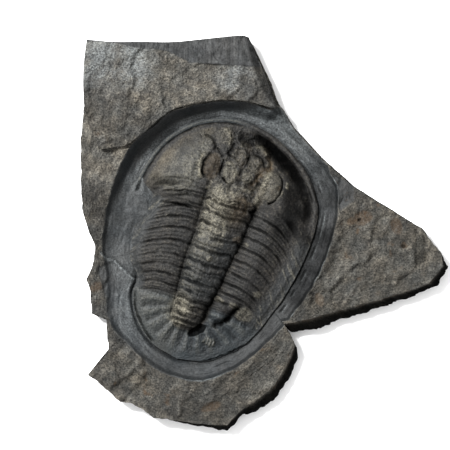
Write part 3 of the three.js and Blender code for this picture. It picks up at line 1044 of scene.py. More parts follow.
        self.carve(relief, degrees, out, share, notch)
        relief.lay_tint(Tint.CARVED, 1.0 - smooth(share, 0.93, 1))
        relief.tints[Tint.CREST] = crest * on_rock + (1.0 - on_rock) * np.clip(0.55 + 0.9 * scribed, 0, 1)
        self.bloom(relief, degrees, out, share)
        self.weather(relief, degrees, beyond)
        return self.with_side(plan, relief)

    def carve(self, relief: Relief, degrees: Array, out: Array, share: Array, notch: Array) -> None:
        """Adds what the tool left: the crevice round the fossil, the rock against it, cracks and scratches,
        with painted shade in the crevice, a small hollow, the crack and the grooves.

        Args:
            relief: What is carved.
            degrees: Angle round the body.
            out: Distance out from the fossil's margin.
            share: The same as a share of the trench's width.
            notch: 1 behind the left cheek, where rock still fills a notch of the fossil.
        """
        merged = smooth(degrees, 136, 146) + smooth(degrees, -152, -166)
        crevice = table(degrees, self.CREVICE)
        relief.height += merged * smooth(out, 12, 2) * (0.9 + 0.5 * relief.noise(7, 3, 33))
        relief.mound(BODY.to_slab(-52.5, 8), (10, 17), 2.4, -17)
        # Painted shade in a small hollow behind the cheek.
        relief.mound(BODY.to_slab(-58, 17), (0.9, 5), -1.6, -17, Tint.PAINTED_SHADE_AND_DARKENING, 0.7)
        # Painted shade in the crack.
        relief.stroke(self.CRACK, -0.9, 0.7, Tint.PAINTED_SHADE_AND_DARKENING, 0.6, 0.08)
        relief.stroke([(x + 0.6, y - 1.4) for x, y in self.CRACK], 0.7, 0.8, Tint.PALE, 0.55, 0.08)
        relief.height -= crevice * bell(out, 0.6, 1.3)
        relief.height -= 4.0 * smooth(out + 3.6 * merged + 11.5 * notch, -0.2, -1.8)
        # Painted shade in the crevice round the fossil.
        relief.lay_tint(Tint.PAINTED_SHADE_AND_DARKENING, 0.5 * np.clip(crevice, 0, 1) * bell(out, 0.4, 0.9))
        scratch = smooth(fractal(degrees * 0.5, share, 3, 2, 31), -0.1, 0.5) * bell(share, 0.965, 0.018)
        right = band(degrees, -62, -50, 20, 42)
        relief.lay_tint(Tint.PALE, 0.9 * scratch * right)
        waver = out + 0.8 * fractal(degrees * 1.2, 0 * degrees, 14, 4, 35, 0.6)
        broken = smooth(fractal(degrees * 1.2, out, 9, 3, 36), -0.3, 0.2)
        grooves = right * broken * (bell(waver, 3.2, 0.5) + 0.6 * bell(waver, 6.4, 0.4))
        relief.height -= 0.7 * grooves
        # Painted shade in the grooves.
        relief.lay_tint(Tint.PAINTED_SHADE_AND_DARKENING, 0.6 * grooves)
        relief.lay_tint(Tint.PALE, 0.5 * right * broken * bell(waver, 4.4, 0.35))
        relief.lay_tint(Tint.PALE, 0.7 * band(degrees, -112, -100, -90, -80) * bell(share, 0.94, 0.02))

    def bloom(self, relief: Relief, degrees: Array, out: Array, share: Array) -> None:
        """Tones of the ground rock: a pale dusty band beside the head and at the left, and painted shade
        elsewhere, deepest on the right.
        """
        ground = smooth(share, 1, 0.94)
        streaks = smooth(fractal(degrees * 1.15 * 0.3 + out * 0.3, out, 3, 4, 41, 0.7), -0.5, 0.6)
        reach = table(degrees, self.DUST_REACH)
        dusty = table(degrees, self.DUST) * (0.25 + 0.75 * streaks) * smooth(out, reach, reach * 0.6)
        relief.lay_tint(Tint.PALE, ground * dusty)
        clouds = 0.5 + 0.6 * relief.patches(16, 4, 42, -0.5, 0.5, 0.6)
        # Painted shade on the ground rock, deepest on the right, in cloudy patches.
        relief.lay_tint(Tint.PAINTED_SHADE_AND_DARKENING, ground * table(degrees, self.GROUND_PAINTED_SHADE) * clouds)

    def weather(self, relief: Relief, degrees: Array, beyond: Array) -> None:
        """Adds the stains and scars of the untouched rock, which lies beyond the trench's crest, painted
        shade in its pits and in two scars, and darker rock by the angle round the slab.
        """
        spots = relief.patches(7, 3, 61, 0.30, 0.55) * relief.patches(45, 2, 62, -0.2, 0.35)
        relief.lay_tint(Tint.RUST, 0.55 * spots * (beyond > 0))
        # Darker rock just beyond the trench's crest on the right.
        relief.lay_tint(Tint.PAINTED_SHADE_AND_DARKENING, 0.30 * smooth(beyond, 10, 2) * band(degrees, -45, -34, 2, 12))
        for middle, radii, depth in self.HOLLOWS:
            relief.mound(middle, radii, -depth, 20, Tint.RUST, 0.42, 1.5)
        for corners, depth, edge, tint, strength, slope in self.SCARS:
            relief.plate(corners, -depth, edge, tint, strength, slope)
        # Painted shade in the pits.
        for pit in self.PITS:
            relief.mound(pit, (1.5, 1.2), -0.9, 30, Tint.PAINTED_SHADE_AND_DARKENING, 0.7)
        clouds = relief.patches(30, 3, 63, -0.5, 0.6)
        # Darker untouched rock, by the angle round the slab, in cloudy patches.
        relief.lay_tint(Tint.PAINTED_SHADE_AND_DARKENING, table(degrees, self.ROCK_DARKENING) * (0.5 + clouds) * (beyond > 0))

    def with_side(self, plan: dict[str, Array], relief: Relief) -> tuple[Array, dict[Tint, Array]]:
        """Adds the broken side below the top, stepped along the beds, and ends at the underside. The side
        carries painted shade, near black where it leans out, which stands for the shadow at its foot.

        Args:
            plan: The spokes, as plan() lays them out.
            relief: The top.

        Returns:
            The points and tints of the top and the side.
        """
        down = np.linspace(0, 1, self.side_rows)[:, None]
        z = (relief.height[-1] - 0.5) * (1.0 - down)
        run = plan["angle"][None, :] * 90.0
        bed_number = np.floor(z / self.layer + 0.6 * fractal(run, 0 * run, 30, 2, 71))
        steps = 0.9 * (lattice(bed_number, 0 * bed_number, 72) - 0.5)
        steps = steps + 0.7 * fractal(run, bed_number * 7, 9, 3, 73)
        lean = self.undercut * down**2.2 - plan["flare"] * smooth(down, 0, 0.55)
        radius = plan["slab"] - lean - 0.7 * smooth(down, 0, 0.12) * np.clip(0.6 + steps, 0, 2.2)
        x = np.vstack([relief.x, BODY.x + radius * np.cos(plan["angle"])])
        y = np.vstack([relief.y, BODY.y + radius * np.sin(plan["angle"])])
        side = {tint: np.zeros_like(radius) for tint in Tint}
        # Painted shade on the broken side, near black lower down where it leans out, standing for the shadow
        # at its foot.
        side[Tint.PAINTED_SHADE_AND_DARKENING] = 0.25 + 0.68 * smooth(down, 0.05, 0.26) * smooth(plan["flare"], 0.5, 1.8)
        side[Tint.RUST] = 0.5 * smooth(down, 0.3, 0.1) * smooth(fractal(run, z, 12, 3, 75), -0.3, 0.4)
        side[Tint.CREST] = np.clip(0.45 + 0.35 * steps + 0.2 * fractal(run, z * 3, 2, 2, 74), 0, 1)
        points = np.stack([x, y, np.vstack([relief.height, z])], axis=2)
        return points, {tint: np.vstack([values, side[tint]]) for tint, values in relief.tints.items()}

    def build(self) -> bpy.types.Object:
        """Makes the slab's mesh and lets it stand for the frame's rock."""
        points, tints = self.surface()
        loops = points.shape[0]
        quads = grid_quads(loops, self.spokes, wraps=True)
        inner = list(range(self.spokes))
        outer = list(range((loops - 1) * self.spokes, loops * self.spokes))
        piece = make_piece("shale_slab", points.reshape(-1, 3), quads, [inner, outer[::-1]], tints)
        piece.data.materials.append(SHALE.make())
        settle(piece, "shale_matrix")
        return piece


@dataclass
class UpperBed:
    """The rough bed across the top of the slab, which overhangs the trench along a black crack.

    Attributes:
        columns: Points from left to right.
        rows: Points from front to back.
        skirt_rows: Points down each side.
        top_z: Height of its face.
        foot_z: Height at which its sides end, inside the slab.
        bevel_drop: Fall of the smooth facet along the top edge.
        facet_drop: Fall of the steep facet along the right edge.
        level: Height over which the crests are pressed together.
        middle: The place towards which its sides lean.
    """

    columns: int = 340
    rows: int = 190
    skirt_rows: int = 14
    top_z: float = 23.2
    foot_z: float = 1.2
    bevel_drop: float = 4.6
    facet_drop: float = 9.0
    level: float = 23.4
    middle: Point = (-50, 98)

    FRONT = [
        (-110.6, 76), (-107.5, 66.5), (-104, 57.5), (-100.8, 51.3), (-92, 51.8), (-85, 53.2),
        (-79.4, 56.4), (-73, 61.4), (-66.9, 67), (-60.6, 72.2), (-54.4, 75.9), (-45, 78.3), (-35.6, 80.3),
        (-26, 81.5), (-16, 81.2), (-7.5, 80.2), (2, 77.6), (9.6, 76),
    ]
    BACK = [
        (-109.2, 119.2), (-93, 117.8), (-74, 117.9), (-56, 117.8), (-35, 120), (-14.5, 122),
        (-8.2, 121.3),
    ]
    # Where the bevel starts, as y over x, and where the facet on the right starts, as x over y.
    BEVEL_FRONT = [
        (-95, 117.5), (-82, 114.5), (-70, 113), (-60, 112), (-51, 107.5), (-45, 104.5), (-36, 103.6),
        (-6, 102.3),
    ]
    RIGHT_CREST = [
        (76.9, 7.6), (81.9, 3.4), (88.1, -0.4), (97.5, -4.2), (104.4, -6.8), (119.4, -10.4), (123, -11),
    ]

    def surface(self) -> Relief:
        """The upper face, of shape (rows, columns).

        The plan is a four-sided patch: each row is a straight blend of the front and back lines, and both
        lines are cut at even shares of their length. Rows follow the height of the split face.
        """
        front = self.even(through(self.FRONT, fineness=10), 0.35)
        back = self.even(through(self.BACK, fineness=10), 0.12)
        share = np.linspace(0, 1, self.rows)[:, None, None]
        plan = front * (1.0 - share) + back * share
        bow = -1.4 * np.sin(math.pi * share[:, :, 0]) * np.linspace(1, 0, self.columns) ** 6
        x, y = plan[:, :, 0] + bow, plan[:, :, 1]
        relief = Relief(x, y)
        rough, crest = split_face(x, y, 203)
        behind = y - table(x, self.BEVEL_FRONT) + 0.9 * relief.noise(7, 4, 213, 0.65)
        on_bevel = smooth(behind, -0.2, 0.9)
        off_bevel = 1.0 - on_bevel
        right = x - table(y, self.RIGHT_CREST)
        on_facet = smooth(right, -0.2, 1.6)
        striae = 0.45 * fractal(x, y * 0.14, 2.6, 4, 211, 0.75)
        fall = self.bevel_drop * np.clip(behind / 17, 0, 1)
        fall = fall + self.facet_drop * np.clip(right / 8, 0, 1.2)
        relief.height = self.top_z + 0.9 * rough * (1.0 - np.maximum(on_bevel, on_facet)) - fall
        relief.height += (striae + 0.25 * rough) * on_bevel + 0.45 * rough * on_facet
        proud = np.clip(relief.height - self.level, 0, None)
        relief.height += 1.1 * np.tanh(proud / 1.1) - proud
        edge = np.minimum(np.arange(self.rows), np.arange(self.rows)[::-1])[:, None] * 0.25
        relief.height -= 0.8 * np.exp(-edge / 0.5)
        relief.tints[Tint.CREST] = crest * off_bevel + on_bevel * np.clip(0.45 + 1.2 * striae, 0, 1)
        relief.lay_tint(Tint.CARVED, 0.8 * on_bevel)
        relief.lay_tint(Tint.PAINTED_SHADE_AND_DARKENING, 0.45 * on_bevel * relief.patches(6, 4, 212, -0.6, 0.5, 0.7))
        # Painted shade on the steep facet along the right edge, which faces away from the light.
        relief.lay_tint(Tint.PAINTED_SHADE_AND_DARKENING, 0.55 * on_facet)
        dusty = smooth(y, 84, 97) * smooth(x, -60, -74)
        dusty = dusty + 0.7 * smooth(np.hypot(x + 18, y - 97), 15, 6)
        relief.lay_tint(Tint.PALE, 0.42 * dusty * relief.patches(12, 4, 262, -0.6, 0.4, 0.65) * off_bevel)
        # Darker towards the front at the left.
        relief.lay_tint(Tint.PAINTED_SHADE_AND_DARKENING, 0.16 * smooth(y, 92, 74) * smooth(x, -50, -70))
        spots = relief.patches(9, 3, 261, 0.32, 0.6) * relief.patches(50, 2, 262, -0.1, 0.4)
        relief.lay_tint(Tint.RUST, 0.45 * spots * off_bevel)
        return relief

    def even(self, line: Array, jag: float) -> Array:
        """A line cut at even steps, with a ragged edge of the given height."""
        run = run_along(line)
        at = np.linspace(0, run[-1], self.columns)
        wave = jag * fractal(at, 0 * at, 7, 4, 231, 0.65)
        return np.stack([np.interp(at, run, line[:, 0]), np.interp(at, run, line[:, 1]) + wave], axis=1)

    def build(self) -> bpy.types.Object:
        """Makes the bed's mesh: face, sides that lean in below it, and a flat foot inside the slab.

        On the right the sides lean outward instead, where the broken side of the slab shows from above.
        """
        relief = self.surface()
        face = np.stack([relief.x, relief.y, relief.height], axis=2).reshape(-1, 3)
        index = np.arange(self.rows * self.columns).reshape(self.rows, self.columns)
        rim = np.concatenate([index[0, :], index[1:, -1], index[-1, -2::-1], index[-2:0:-1, 0]])
        x, y, top_z = face[rim].T
        inward = np.array(self.middle) - face[rim, :2]
        inward /= np.linalg.norm(inward, axis=1)[:, None]
        down = np.linspace(0, 1, self.skirt_rows + 1)[1:, None]
        ragged = 0.7 + 0.7 * fractal(np.arange(len(rim))[None, :] * 0.35, down * 40, 6, 3, 241)
        outward = smooth(x - table(y, self.RIGHT_CREST), 3, 7)
        lean = (0.5 + 1.6 * down**0.7) * (0.5 + ragged) * (1.0 - outward) - 4.4 * outward * down**0.6
        z = top_z + (self.foot_z - top_z) * down
        skirt = np.stack([x + lean * inward[:, 0], y + lean * inward[:, 1], z], axis=2).reshape(-1, 3)
        rings = np.vstack([rim[None, :], len(face) + np.arange(z.size).reshape(z.shape)])
        after = np.roll(rings, -1, axis=1)
        sides = np.stack([rings[:-1], rings[1:], after[1:], after[:-1]], axis=2).reshape(-1, 4)
        quads = np.vstack([grid_quads(self.rows, self.columns, wraps=False)[:, ::-1], sides])
        tints = {
            tint: np.concatenate([values.ravel(), np.tile(values.ravel()[rim], len(z))])
            for tint, values in relief.tints.items()
        }
        # Painted shade on the sides, deepest on the right where they lean outward.
        tints[Tint.PAINTED_SHADE_AND_DARKENING][len(face) :] = np.tile(0.25 + 0.65 * outward, len(z))
        piece = make_piece("upper_shale_bed", np.vstack([face, skirt]), quads, [list(rings[-1][::-1])], tints)
        piece.data.materials.append(SHALE.make())
        settle(piece, "shale_matrix")
        return piece


# ---- the fossil


@dataclass(frozen=True)
class Segments:
    """Where each point of the carapace lies among its rings.

    Attributes:
        shifted: Distance to the right of the body's middle line.
        half: Half width of the middle lobe there.
        wander: How far noise bends the rings along the body.
        swept: Place along the body, bent as the ribs are.
        phase: Share of the way through the segment.
        gap: Distance to the nearest main furrow.
        spacing: Length of the segment.
        whole: Number of the nearest main furrow.
        on_axis: 1 on the middle lobe.
    """

    shifted: Array
    half: Array
    wander: Array
    swept: Array
    phase: Array
    gap: Array
    spacing: Array
    whole: Array
    on_axis: Array


@dataclass
class Trilobite:
    """The carapace: head shield with two eyes and a cracked crown, ringed thorax and ribbed tail shield.

    Its marks are listed as (points, rise, half width, strength), for ridges and furrows, and as (middle,
    radii, rise, turn, strength, flatness), for lumps and hollows, with the last ones left out where plain.

    Attributes:
        rows: Points along the body.
        columns: Points across it.
        edge_z: Height of its margin.
        lobe_rise: Height of the side lobes over the margin.
        cheek_rise: Height of the cheeks over it.
        axis_rise: Height of the middle lobe over the dorsal furrows.
        skirt: How far its margin runs down into the rock.
        tail_middle: Where the tail's ribs fan out from.
        rib_turn: Degrees from one rib of the tail to the next.
    """

    rows: int = 384
    columns: int = 252
    edge_z: float = 7.4
    lobe_rise: float = 5.6
    cheek_rise: float = 7.0
    axis_rise: float = 5.6
    skirt: float = 2.6
    tail_middle: Point = (-2, -46)
    rib_turn: float = 20.0

    # Furrows between the rings, along the body.
    RINGS = (30, 22, 15.3, 8, 0.6, -8, -16.8, -23.4, -29.6, -35.6, -41.2, -46.2, -50.8, -55, -59)
    # Over the place along the body: half width of the middle lobe, how far it lies off the middle and how
    # high it stands, and how high the side lobes stand.
    HALF_AXIS = [
        (76, 9), (62, 13), (45, 15), (27, 16), (11, 15.4), (0, 14.3), (-20, 13.4), (-26, 12.8), (-34, 11.8),
        (-40, 11), (-50, 10.2), (-55, 8.8), (-59, 5.5), (-66, 2),
    ]
    AXIS_SHIFT = [(76, 0), (0, 0), (-11, -1.3), (-26, -1.6), (-45, -2.2), (-56, -2.6), (-66, -2.6)]
    AXIS_HEIGHT = [
        (64, 0), (56, 0.2), (44, 0.35), (34, 0.7), (24, 0.98), (0, 1.05), (-30, 1), (-50, 0.98),
        (-56, 0.86), (-59, 0.4), (-61, 0),
    ]
    LOBE_HEIGHT = [
        (30, 1.05), (10, 1), (-30, 0.95), (-37, 0.85), (-43, 0.62), (-55, 0.42), (-68, 0.30), (-74, 0.18),
        (-78.4, 0),
    ]
    # Height of each side lobe over its share of the way from the dorsal furrow to the margin.
    LEFT_LOBE = [
        (0, 0.50), (0.06, 0.72), (0.16, 0.90), (0.36, 1), (0.58, 0.94), (0.72, 0.78), (0.84, 0.48),
        (0.94, 0.16), (1, 0),
    ]
    RIGHT_LOBE = [
        (0, 0.20), (0.06, 0.50), (0.14, 0.80), (0.26, 1), (0.40, 0.96), (0.55, 0.66), (0.66, 0.40),
        (0.78, 0.30), (0.92, 0.22), (1, 0),
    ]
    # Over the share of the head's border from its left to its right rear end: the gutter's width and the
    # depth of its painted shade.
    GUTTER_WIDTH = [(0.5, 3), (0.58, 8), (0.72, 10), (0.85, 7), (1, 5)]
    GUTTER_PAINTED_SHADE = [(0.45, 0), (0.52, 0.96), (0.7, 0.95), (0.82, 0.8), (1, 0.6)]

    # Left eye, a brown kidney with notches behind its crest, and right eye, a pale lobe.
    LEFT_EYE = ((-18.2, 43), (5.6, 9.2))
    RIGHT_EYE = ((21, 42), (7, 11))
    EYE_NOTCHES = (37.4, 39.6, 41.5, 43.9, 46.2, 48.2)
    EYE_FURROWS = (
        ([(-20.5, 52), (-22.8, 48), (-23.8, 43.5), (-23.2, 39), (-21.8, 36.4), (-19.4, 34.6)],
         -1.8, 0.55, 0.85, 0.12),
        ([(-30, 60.6), (-25.5, 60.2), (-22, 58.4), (-20.2, 55.2), (-21.2, 52)], -1.2, 0.6),
        ([(-19.5, 55.5), (-16.5, 53.2), (-13.2, 49.8)], -1.4, 0.7),
        ([(-17.8, 33.5), (-16.6, 30.6)], -1, 0.8, 0.7),
        ([(23.2, 52), (26.3, 48.8), (27.8, 44.6), (27.6, 40.5), (26.8, 36.8), (24.6, 33.2), (21.8, 31.8)],
         -1.6, 0.5, 0.8, 0.10),
    )
    EYE_RIDGES = (
        ([(-24.6, 51), (-26.2, 46), (-26.2, 41), (-24.4, 36.5), (-21.8, 33.2)], 1.3, 1.2, 0.75),
        ([(-15.6, 35.5), (-15.8, 31.5), (-17, 28)], 0.9, 1, 0.4),
        ([(18.4, 53.5), (17, 49), (16.4, 43), (15.8, 37), (15.2, 31), (14.2, 27.5)], 1.9, 1.7, 0.5, 0.12),
        ([(29.2, 43.5), (28, 39), (26.8, 35)], 0.6, 0.7, 0.35),
    )

    # The cracked crown between the eyes.
    CROWN_FURROWS = (
        ([(-12.4, 50.5), (-12, 46.5), (-12.4, 42.5), (-11.4, 39.2), (-8.2, 37), (-3.4, 35.2)],
         -1.8, 0.5, 0.85, 0.10),
        ([(1.6, 60), (2, 56), (1.8, 51), (0.4, 45.5), (-0.4, 41.5)], -1.3, 0.5, 0.7),
        ([(-9.5, 62), (-9.8, 57.5), (-11.2, 53)], -1.2, 0.8),
        ([(13.4, 44), (12.2, 39), (10, 35.5)], -1.2, 1),
        ([(2.5, 62), (5, 58.5), (10.5, 57), (13.5, 52)], -1.3, 0.7, 0.7),
        ([(-14, 58.5), (-10, 53.5), (-7, 52), (-1, 49)], -1, 0.6),
        ([(17.5, 27.5), (15.5, 24.5), (12.5, 22.8)], -1.3, 1, 0.85),
        ([(-3, 21.5), (-1.2, 24.2), (3, 26.4), (7, 26.2)], -0.8, 0.5, 0.7),
    )
    CROWN_RIDGES = (
        ([(-20, 68.5), (-15, 66.5), (-12.6, 62), (-12.4, 56)], 1.1, 1.3, 0.35),
        ([(3, 62.6), (7.5, 64.4), (11, 62), (13.5, 58.8)], 1.5, 1.3, 0.45),
        ([(0, 36), (6, 35.2), (11, 37.5), (14.5, 41)], 1, 1.3, 0.3),
    )
    CROWN_RUSTS = (
        ([(12, 60.5), (15.5, 57.5), (17, 53.5), (13.5, 50.5)], -1.4, 1.8, 0.85),
        ([(14, 51), (11.5, 46.5), (10.5, 42), (7, 39)], -1.5, 1.3, 0.85),
    )
    CROWN_LUMPS = (
        ((-6.2, 42.6), (4.8, 8), 1.7, 14, 0.3, 2.2),
        ((-17, 63.6), (6.5, 6), 1.2, 20, 0.12, 1.5),
        ((5, 43), (3.6, 4.2), 0.9, -20, 0.25),
    )
    CROWN_HOLLOWS = (
        ((-3, 65.2), (6.4, 4.2), -1.8, -25, 0.55, 1.8),
        ((7.5, 39.5), (3, 3.4), -0.8, 0, 0.35),
    )
    # Raised flakes in the crown, as (corners, rise, strength, slope).
    CROWN_FLAKES = (
        ([(-10, 52), (-6, 50), (0, 47), (1, 56.5), (-2, 60), (-8, 58.5)],
         1.1, 0.10, (0.08, 0.09)),
        ([(2.8, 49), (6, 46.6), (10, 48.5), (10.4, 54.5), (7.5, 58), (3, 57.5)],
         1.2, 0.12, (-0.09, 0.06)),
    )
    # Lines across the back of the left cheek, as (points, depth).
    CHEEK_LINES = (
        ([(-45, 25.5), (-38, 28.6), (-30, 30.4), (-18, 29.6)], 0.6),
        ([(-31, 25.8), (-24, 27.2), (-15.5, 27.4)], 0.6),
        ([(-43, 18.2), (-38, 20.2), (-28, 23.4), (-21, 24.6), (-14.5, 24.8)], 1.3),
        ([(-33, 20.4), (-26, 22.6), (-16, 23)], 0.8),
        ([(-36, 16.6), (-27, 17.6), (-20, 17.2), (-14.5, 18.4)], 0.8),
        ([(-43, 10.9), (-37, 12.6), (-30, 13.8), (-22, 14.4), (-15, 16.2)], 1.6),
    )

    # The tail's border furrow, and the furrows along and behind the right side lobe.
    TAIL_FURROWS = (
        ([(-38.5, -44), (-37.5, -50), (-34.5, -57), (-30, -62.8), (-25, -67.6), (-20, -71.4), (-14, -74.6)],
         -0.9, 0.6),
        ([(6, -77.4), (13, -76.2), (19, -73.2), (25, -69), (30, -64.6), (35, -59.8), (39, -54)], -0.9, 0.6),
        ([(10.5, -30), (9, -38), (7.8, -44), (7.4, -52)], -1.2, 1.2, 0.55),
        ([(12, -51.5), (17, -50), (21, -46.5), (23.6, -41.5), (26, -36), (28, -31.5)],
         -2, 1.9, 0.9),
    )
    # A small fan of ridges on the tail, as (right end, its place along the body).
    TAIL_FAN = ((12.4, -63.6), (14.6, -65), (16.8, -65.2), (19, -63.8))
    # Painted shade in the hole under the end of the middle lobe and in the middle of a small ring.
    DARK_SPOTS = (
        ((6.4, -57.4), (6.6, 3), -2.6, 46, 0.85, 3),
        ((32, -45), (1.1, 1.1), -0.8, 0, 0.4),
    )
    PALE_SPOTS = (
        ((12.8, -34.6), (3.6, 1.9), 1.2, 0, 0.3),
        ((23.4, -35.2), (3.6, 2.1), 1.4, 0, 0.25),
        ((18.2, 3.2), (1.8, 1.5), 0.7, 0, 0.3),
        ((35, -24), (2.6, 2.4), 0.6, 0, 0.3),
        ((-1.2, -12.4), (2.4, 1.9), 1.1, 20, 0.3),
        ((31, -38.5), (6.5, 5), 0.5, 0, 0.3, 1.5),
    )

    def plan(self) -> tuple[Array, Array, Array]:
        """Across, along and reach of each grid point, without the two poles.

        Rows run from head to tail, closer together towards both ends by the cosine of an even angle, and
        each row is cut into even steps from its left to its right margin.
        """
        even = np.linspace(0, 1, self.rows + 2)[1:-1]
        by_cosine = (1.0 - np.cos(math.pi * even)) / 2.0
        share = 0.35 * by_cosine + 0.65 * even
        ends = smooth(np.minimum(share, 1 - share), 0, 0.05)
        share = share * ends + by_cosine * (1.0 - ends)
        along = HEAD_TIP + (TAIL_TIP - HEAD_TIP) * share
        left = table(along, margin_rows(LEFT_MARGIN))[:, None]
        right = table(along, margin_rows(RIGHT_MARGIN))[:, None]
        across = left + (right - left) * np.linspace(0, 1, self.columns)
        return across, along[:, None] + 0 * across, np.where(across < 0, -left, right)

    def shape(self, across: Array, along: Array, reach: Array) -> Relief:
        """Height and tints of the carapace over its plan."""
        relief = Relief(across, along)
        margin = np.array([(a, b) for b, a in [*margin_rows(LEFT_MARGIN), *margin_rows(RIGHT_MARGIN)[::-1]]])
        inside, _ = line_distance(across, along, margin[::2])
        self.lobes(relief, reach, inside)
        segments = self.segments(relief)
        self.rings(relief, segments)
        self.ribs(relief, segments, reach)
        self.head(relief, inside)
        self.eyes(relief)
        self.crown(relief, inside)
        self.cheek_rear(relief)
        self.tail(relief, inside)
        grain = relief.noise(1.5, 2, 301, 0.9)
        relief.height += 0.30 * grain
        relief.tints[Tint.CREST] = np.clip(relief.tints[Tint.CREST] + 0.45 * grain, 0, 1)
        return relief

    def lobes(self, relief: Relief, reach: Array, inside: Array) -> None:
        """The three lobes and the domed cheeks.

        Each side lobe climbs out of the dorsal furrow, bends at its knee and falls to the margin. The middle
        lobe is a power curve between the furrows. In the head, the cheeks rise with the distance from the
        margin: gently on the left, and on the right by a steep wall behind a flat gutter.

        Args:
            relief: What is raised.
            reach: Distance from the middle to the margin on the point's own side.
            inside: Distance to the margin.
        """
        q, p = relief.x, relief.y
        shifted, half = q - table(p, self.AXIS_SHIFT), table(p, self.HALF_AXIS)
        full = np.where(q < 0, -table(p, margin_rows(FILLED_LEFT_MARGIN)), reach)
        side = np.clip((np.abs(shifted) - half) / np.clip(full - half, 1, None), 0, 1)
        right = smooth(q, -6, 8)
        thorax = table(side, self.LEFT_LOBE) * (1 - right) + table(side, self.RIGHT_LOBE) * right
        thorax = thorax * (0.35 + 0.65 * smooth(inside, 0, 5)) * table(p, self.LOBE_HEIGHT)
        cheeks = smooth(inside, 2, 27) * (1 - right) + smooth(inside, 6.5, 23) * right
        in_head = smooth(p, 16, 34)
        relief.height += self.edge_z
        relief.height += (1 - in_head) * self.lobe_rise * thorax + in_head * self.cheek_rise * cheeks
        section = np.clip(1.0 - (np.abs(shifted) / half) ** 2.1, 0, 1) ** 0.72
        relief.height += self.axis_rise * table(p, self.AXIS_HEIGHT) * section
        off = np.abs(shifted) - half + 1.1 * relief.noise(5.5, 3, 309, 0.65)
        furrow = (bell(off, 0.4, 2.1) + 0.7 * bell(off, 0.2, 0.8)) * band(p, -58, -50, 26, 36)
        furrow = furrow * (0.6 + 0.8 * relief.noise(5, 3, 300))
        relief.height -= 0.8 * furrow
        # Painted shade in the dorsal furrows, deeper on the right, away from the light.
        relief.lay_tint(Tint.PAINTED_SHADE_AND_DARKENING, furrow * (0.22 + 0.24 * right))

    def segments(self, relief: Relief) -> Segments:
        """Where each point lies among the rings.

        Its ring number comes from how far along it lies, swept back towards the sides by the square of its
        distance past a straight stretch, and bent by noise.
        """
        q, p = relief.x, relief.y
        shifted, half = q - table(p, self.AXIS_SHIFT), table(p, self.HALF_AXIS)
        sweep = 0.017 * np.clip(np.abs(shifted) - 20, 0, None) ** 2
        wander = 0.8 * fractal(q, p * 0.6, 15, 3, 311) + 0.45 * relief.noise(4, 2, 310)
        arch = 1.3 * relief.noise(8, 3, 308, 0.6) - 0.010 * shifted**2
        wander = wander + smooth(np.abs(shifted), half, half - 3) * arch
        swept = p + sweep + wander
        number = table(swept, [(at, float(k)) for k, at in enumerate(self.RINGS)])
        spacing = np.interp(number, np.arange(len(self.RINGS) - 1) + 0.5, -np.diff(self.RINGS))
        phase = number - np.floor(number)
        gap = np.minimum(phase, 1.0 - phase) * spacing
        on_axis = smooth(np.abs(shifted), half + 0.3, half - 1.2)
        return Segments(shifted, half, wander, swept, phase, gap, spacing, np.floor(number + 0.5), on_axis)

    def rings(self, relief: Relief, at: Segments) -> None:
        """Rings of the middle lobe.

        The share of the way through a ring sets its section: a deep furrow, a broad band, a shallow furrow
        and a narrow band. Lumps and pits break it up. Its furrows and pits take painted shade, and its left
        side, which faces the light, a painted highlight.

        Args:
            relief: What is ringed.
            at: Where each point lies among the rings.
        """
        q, p = relief.x, relief.y
        ringed = band(p, -60, -57, 25, 31) * at.on_axis
        wear = smooth(fractal(q, at.whole * 9.0 + p * 0.2, 11, 3, 317), -0.55, 0.25)
        main = bell(at.gap, 0, 0.5 + 0.5 * wear) * (0.25 + 0.75 * wear)
        minor = bell((at.phase - 0.70) * at.spacing, 0, 0.55)
        minor = minor * smooth(fractal(q, at.whole * 7, 9, 2, 318), -0.4, 0.2)
        swell = np.sin(math.pi * np.clip(at.phase / 0.7, 0, 1)) ** 0.7
        relief.height += ringed * (0.85 * swell - 1.25 * main - 0.6 * minor)
        # Painted shade in the furrows.
        relief.lay_tint(Tint.PAINTED_SHADE_AND_DARKENING, ringed * (0.8 * main + 0.35 * minor))
        lumps = caps(q, p, 3.4, 319, 0.35, 0.5) + 1.5 * caps(q + at.wander, p, 6, 307, 0.25, 0.9)
        pitted = creased(q * 0.8, p, 2.6, 3, 320, 0.7)
        relief.height += ringed * (0.5 * lumps + 0.55 * pitted)
        # Painted shade in the pits.
        relief.lay_tint(Tint.PAINTED_SHADE_AND_DARKENING, 0.4 * ringed * smooth(pitted, -0.25, -0.6))
        # Painted highlight on the left side of the middle lobe, which faces the light.
        lit_flank = ringed * smooth(at.shifted, 3, -6) * smooth(main, 0.5, 0.1)
        bluish = 0.45 * band(p, -46, -34, 0, 8)
        relief.lay_tint(Tint.CARVED, bluish * at.on_axis * (1.0 - swell * smooth(pitted, -0.2, 0.5)))
        relief.lay_tint(Tint.PALE, (1.0 - bluish) * lit_flank * (0.20 + 0.42 * smooth(pitted, 0, 0.6)))

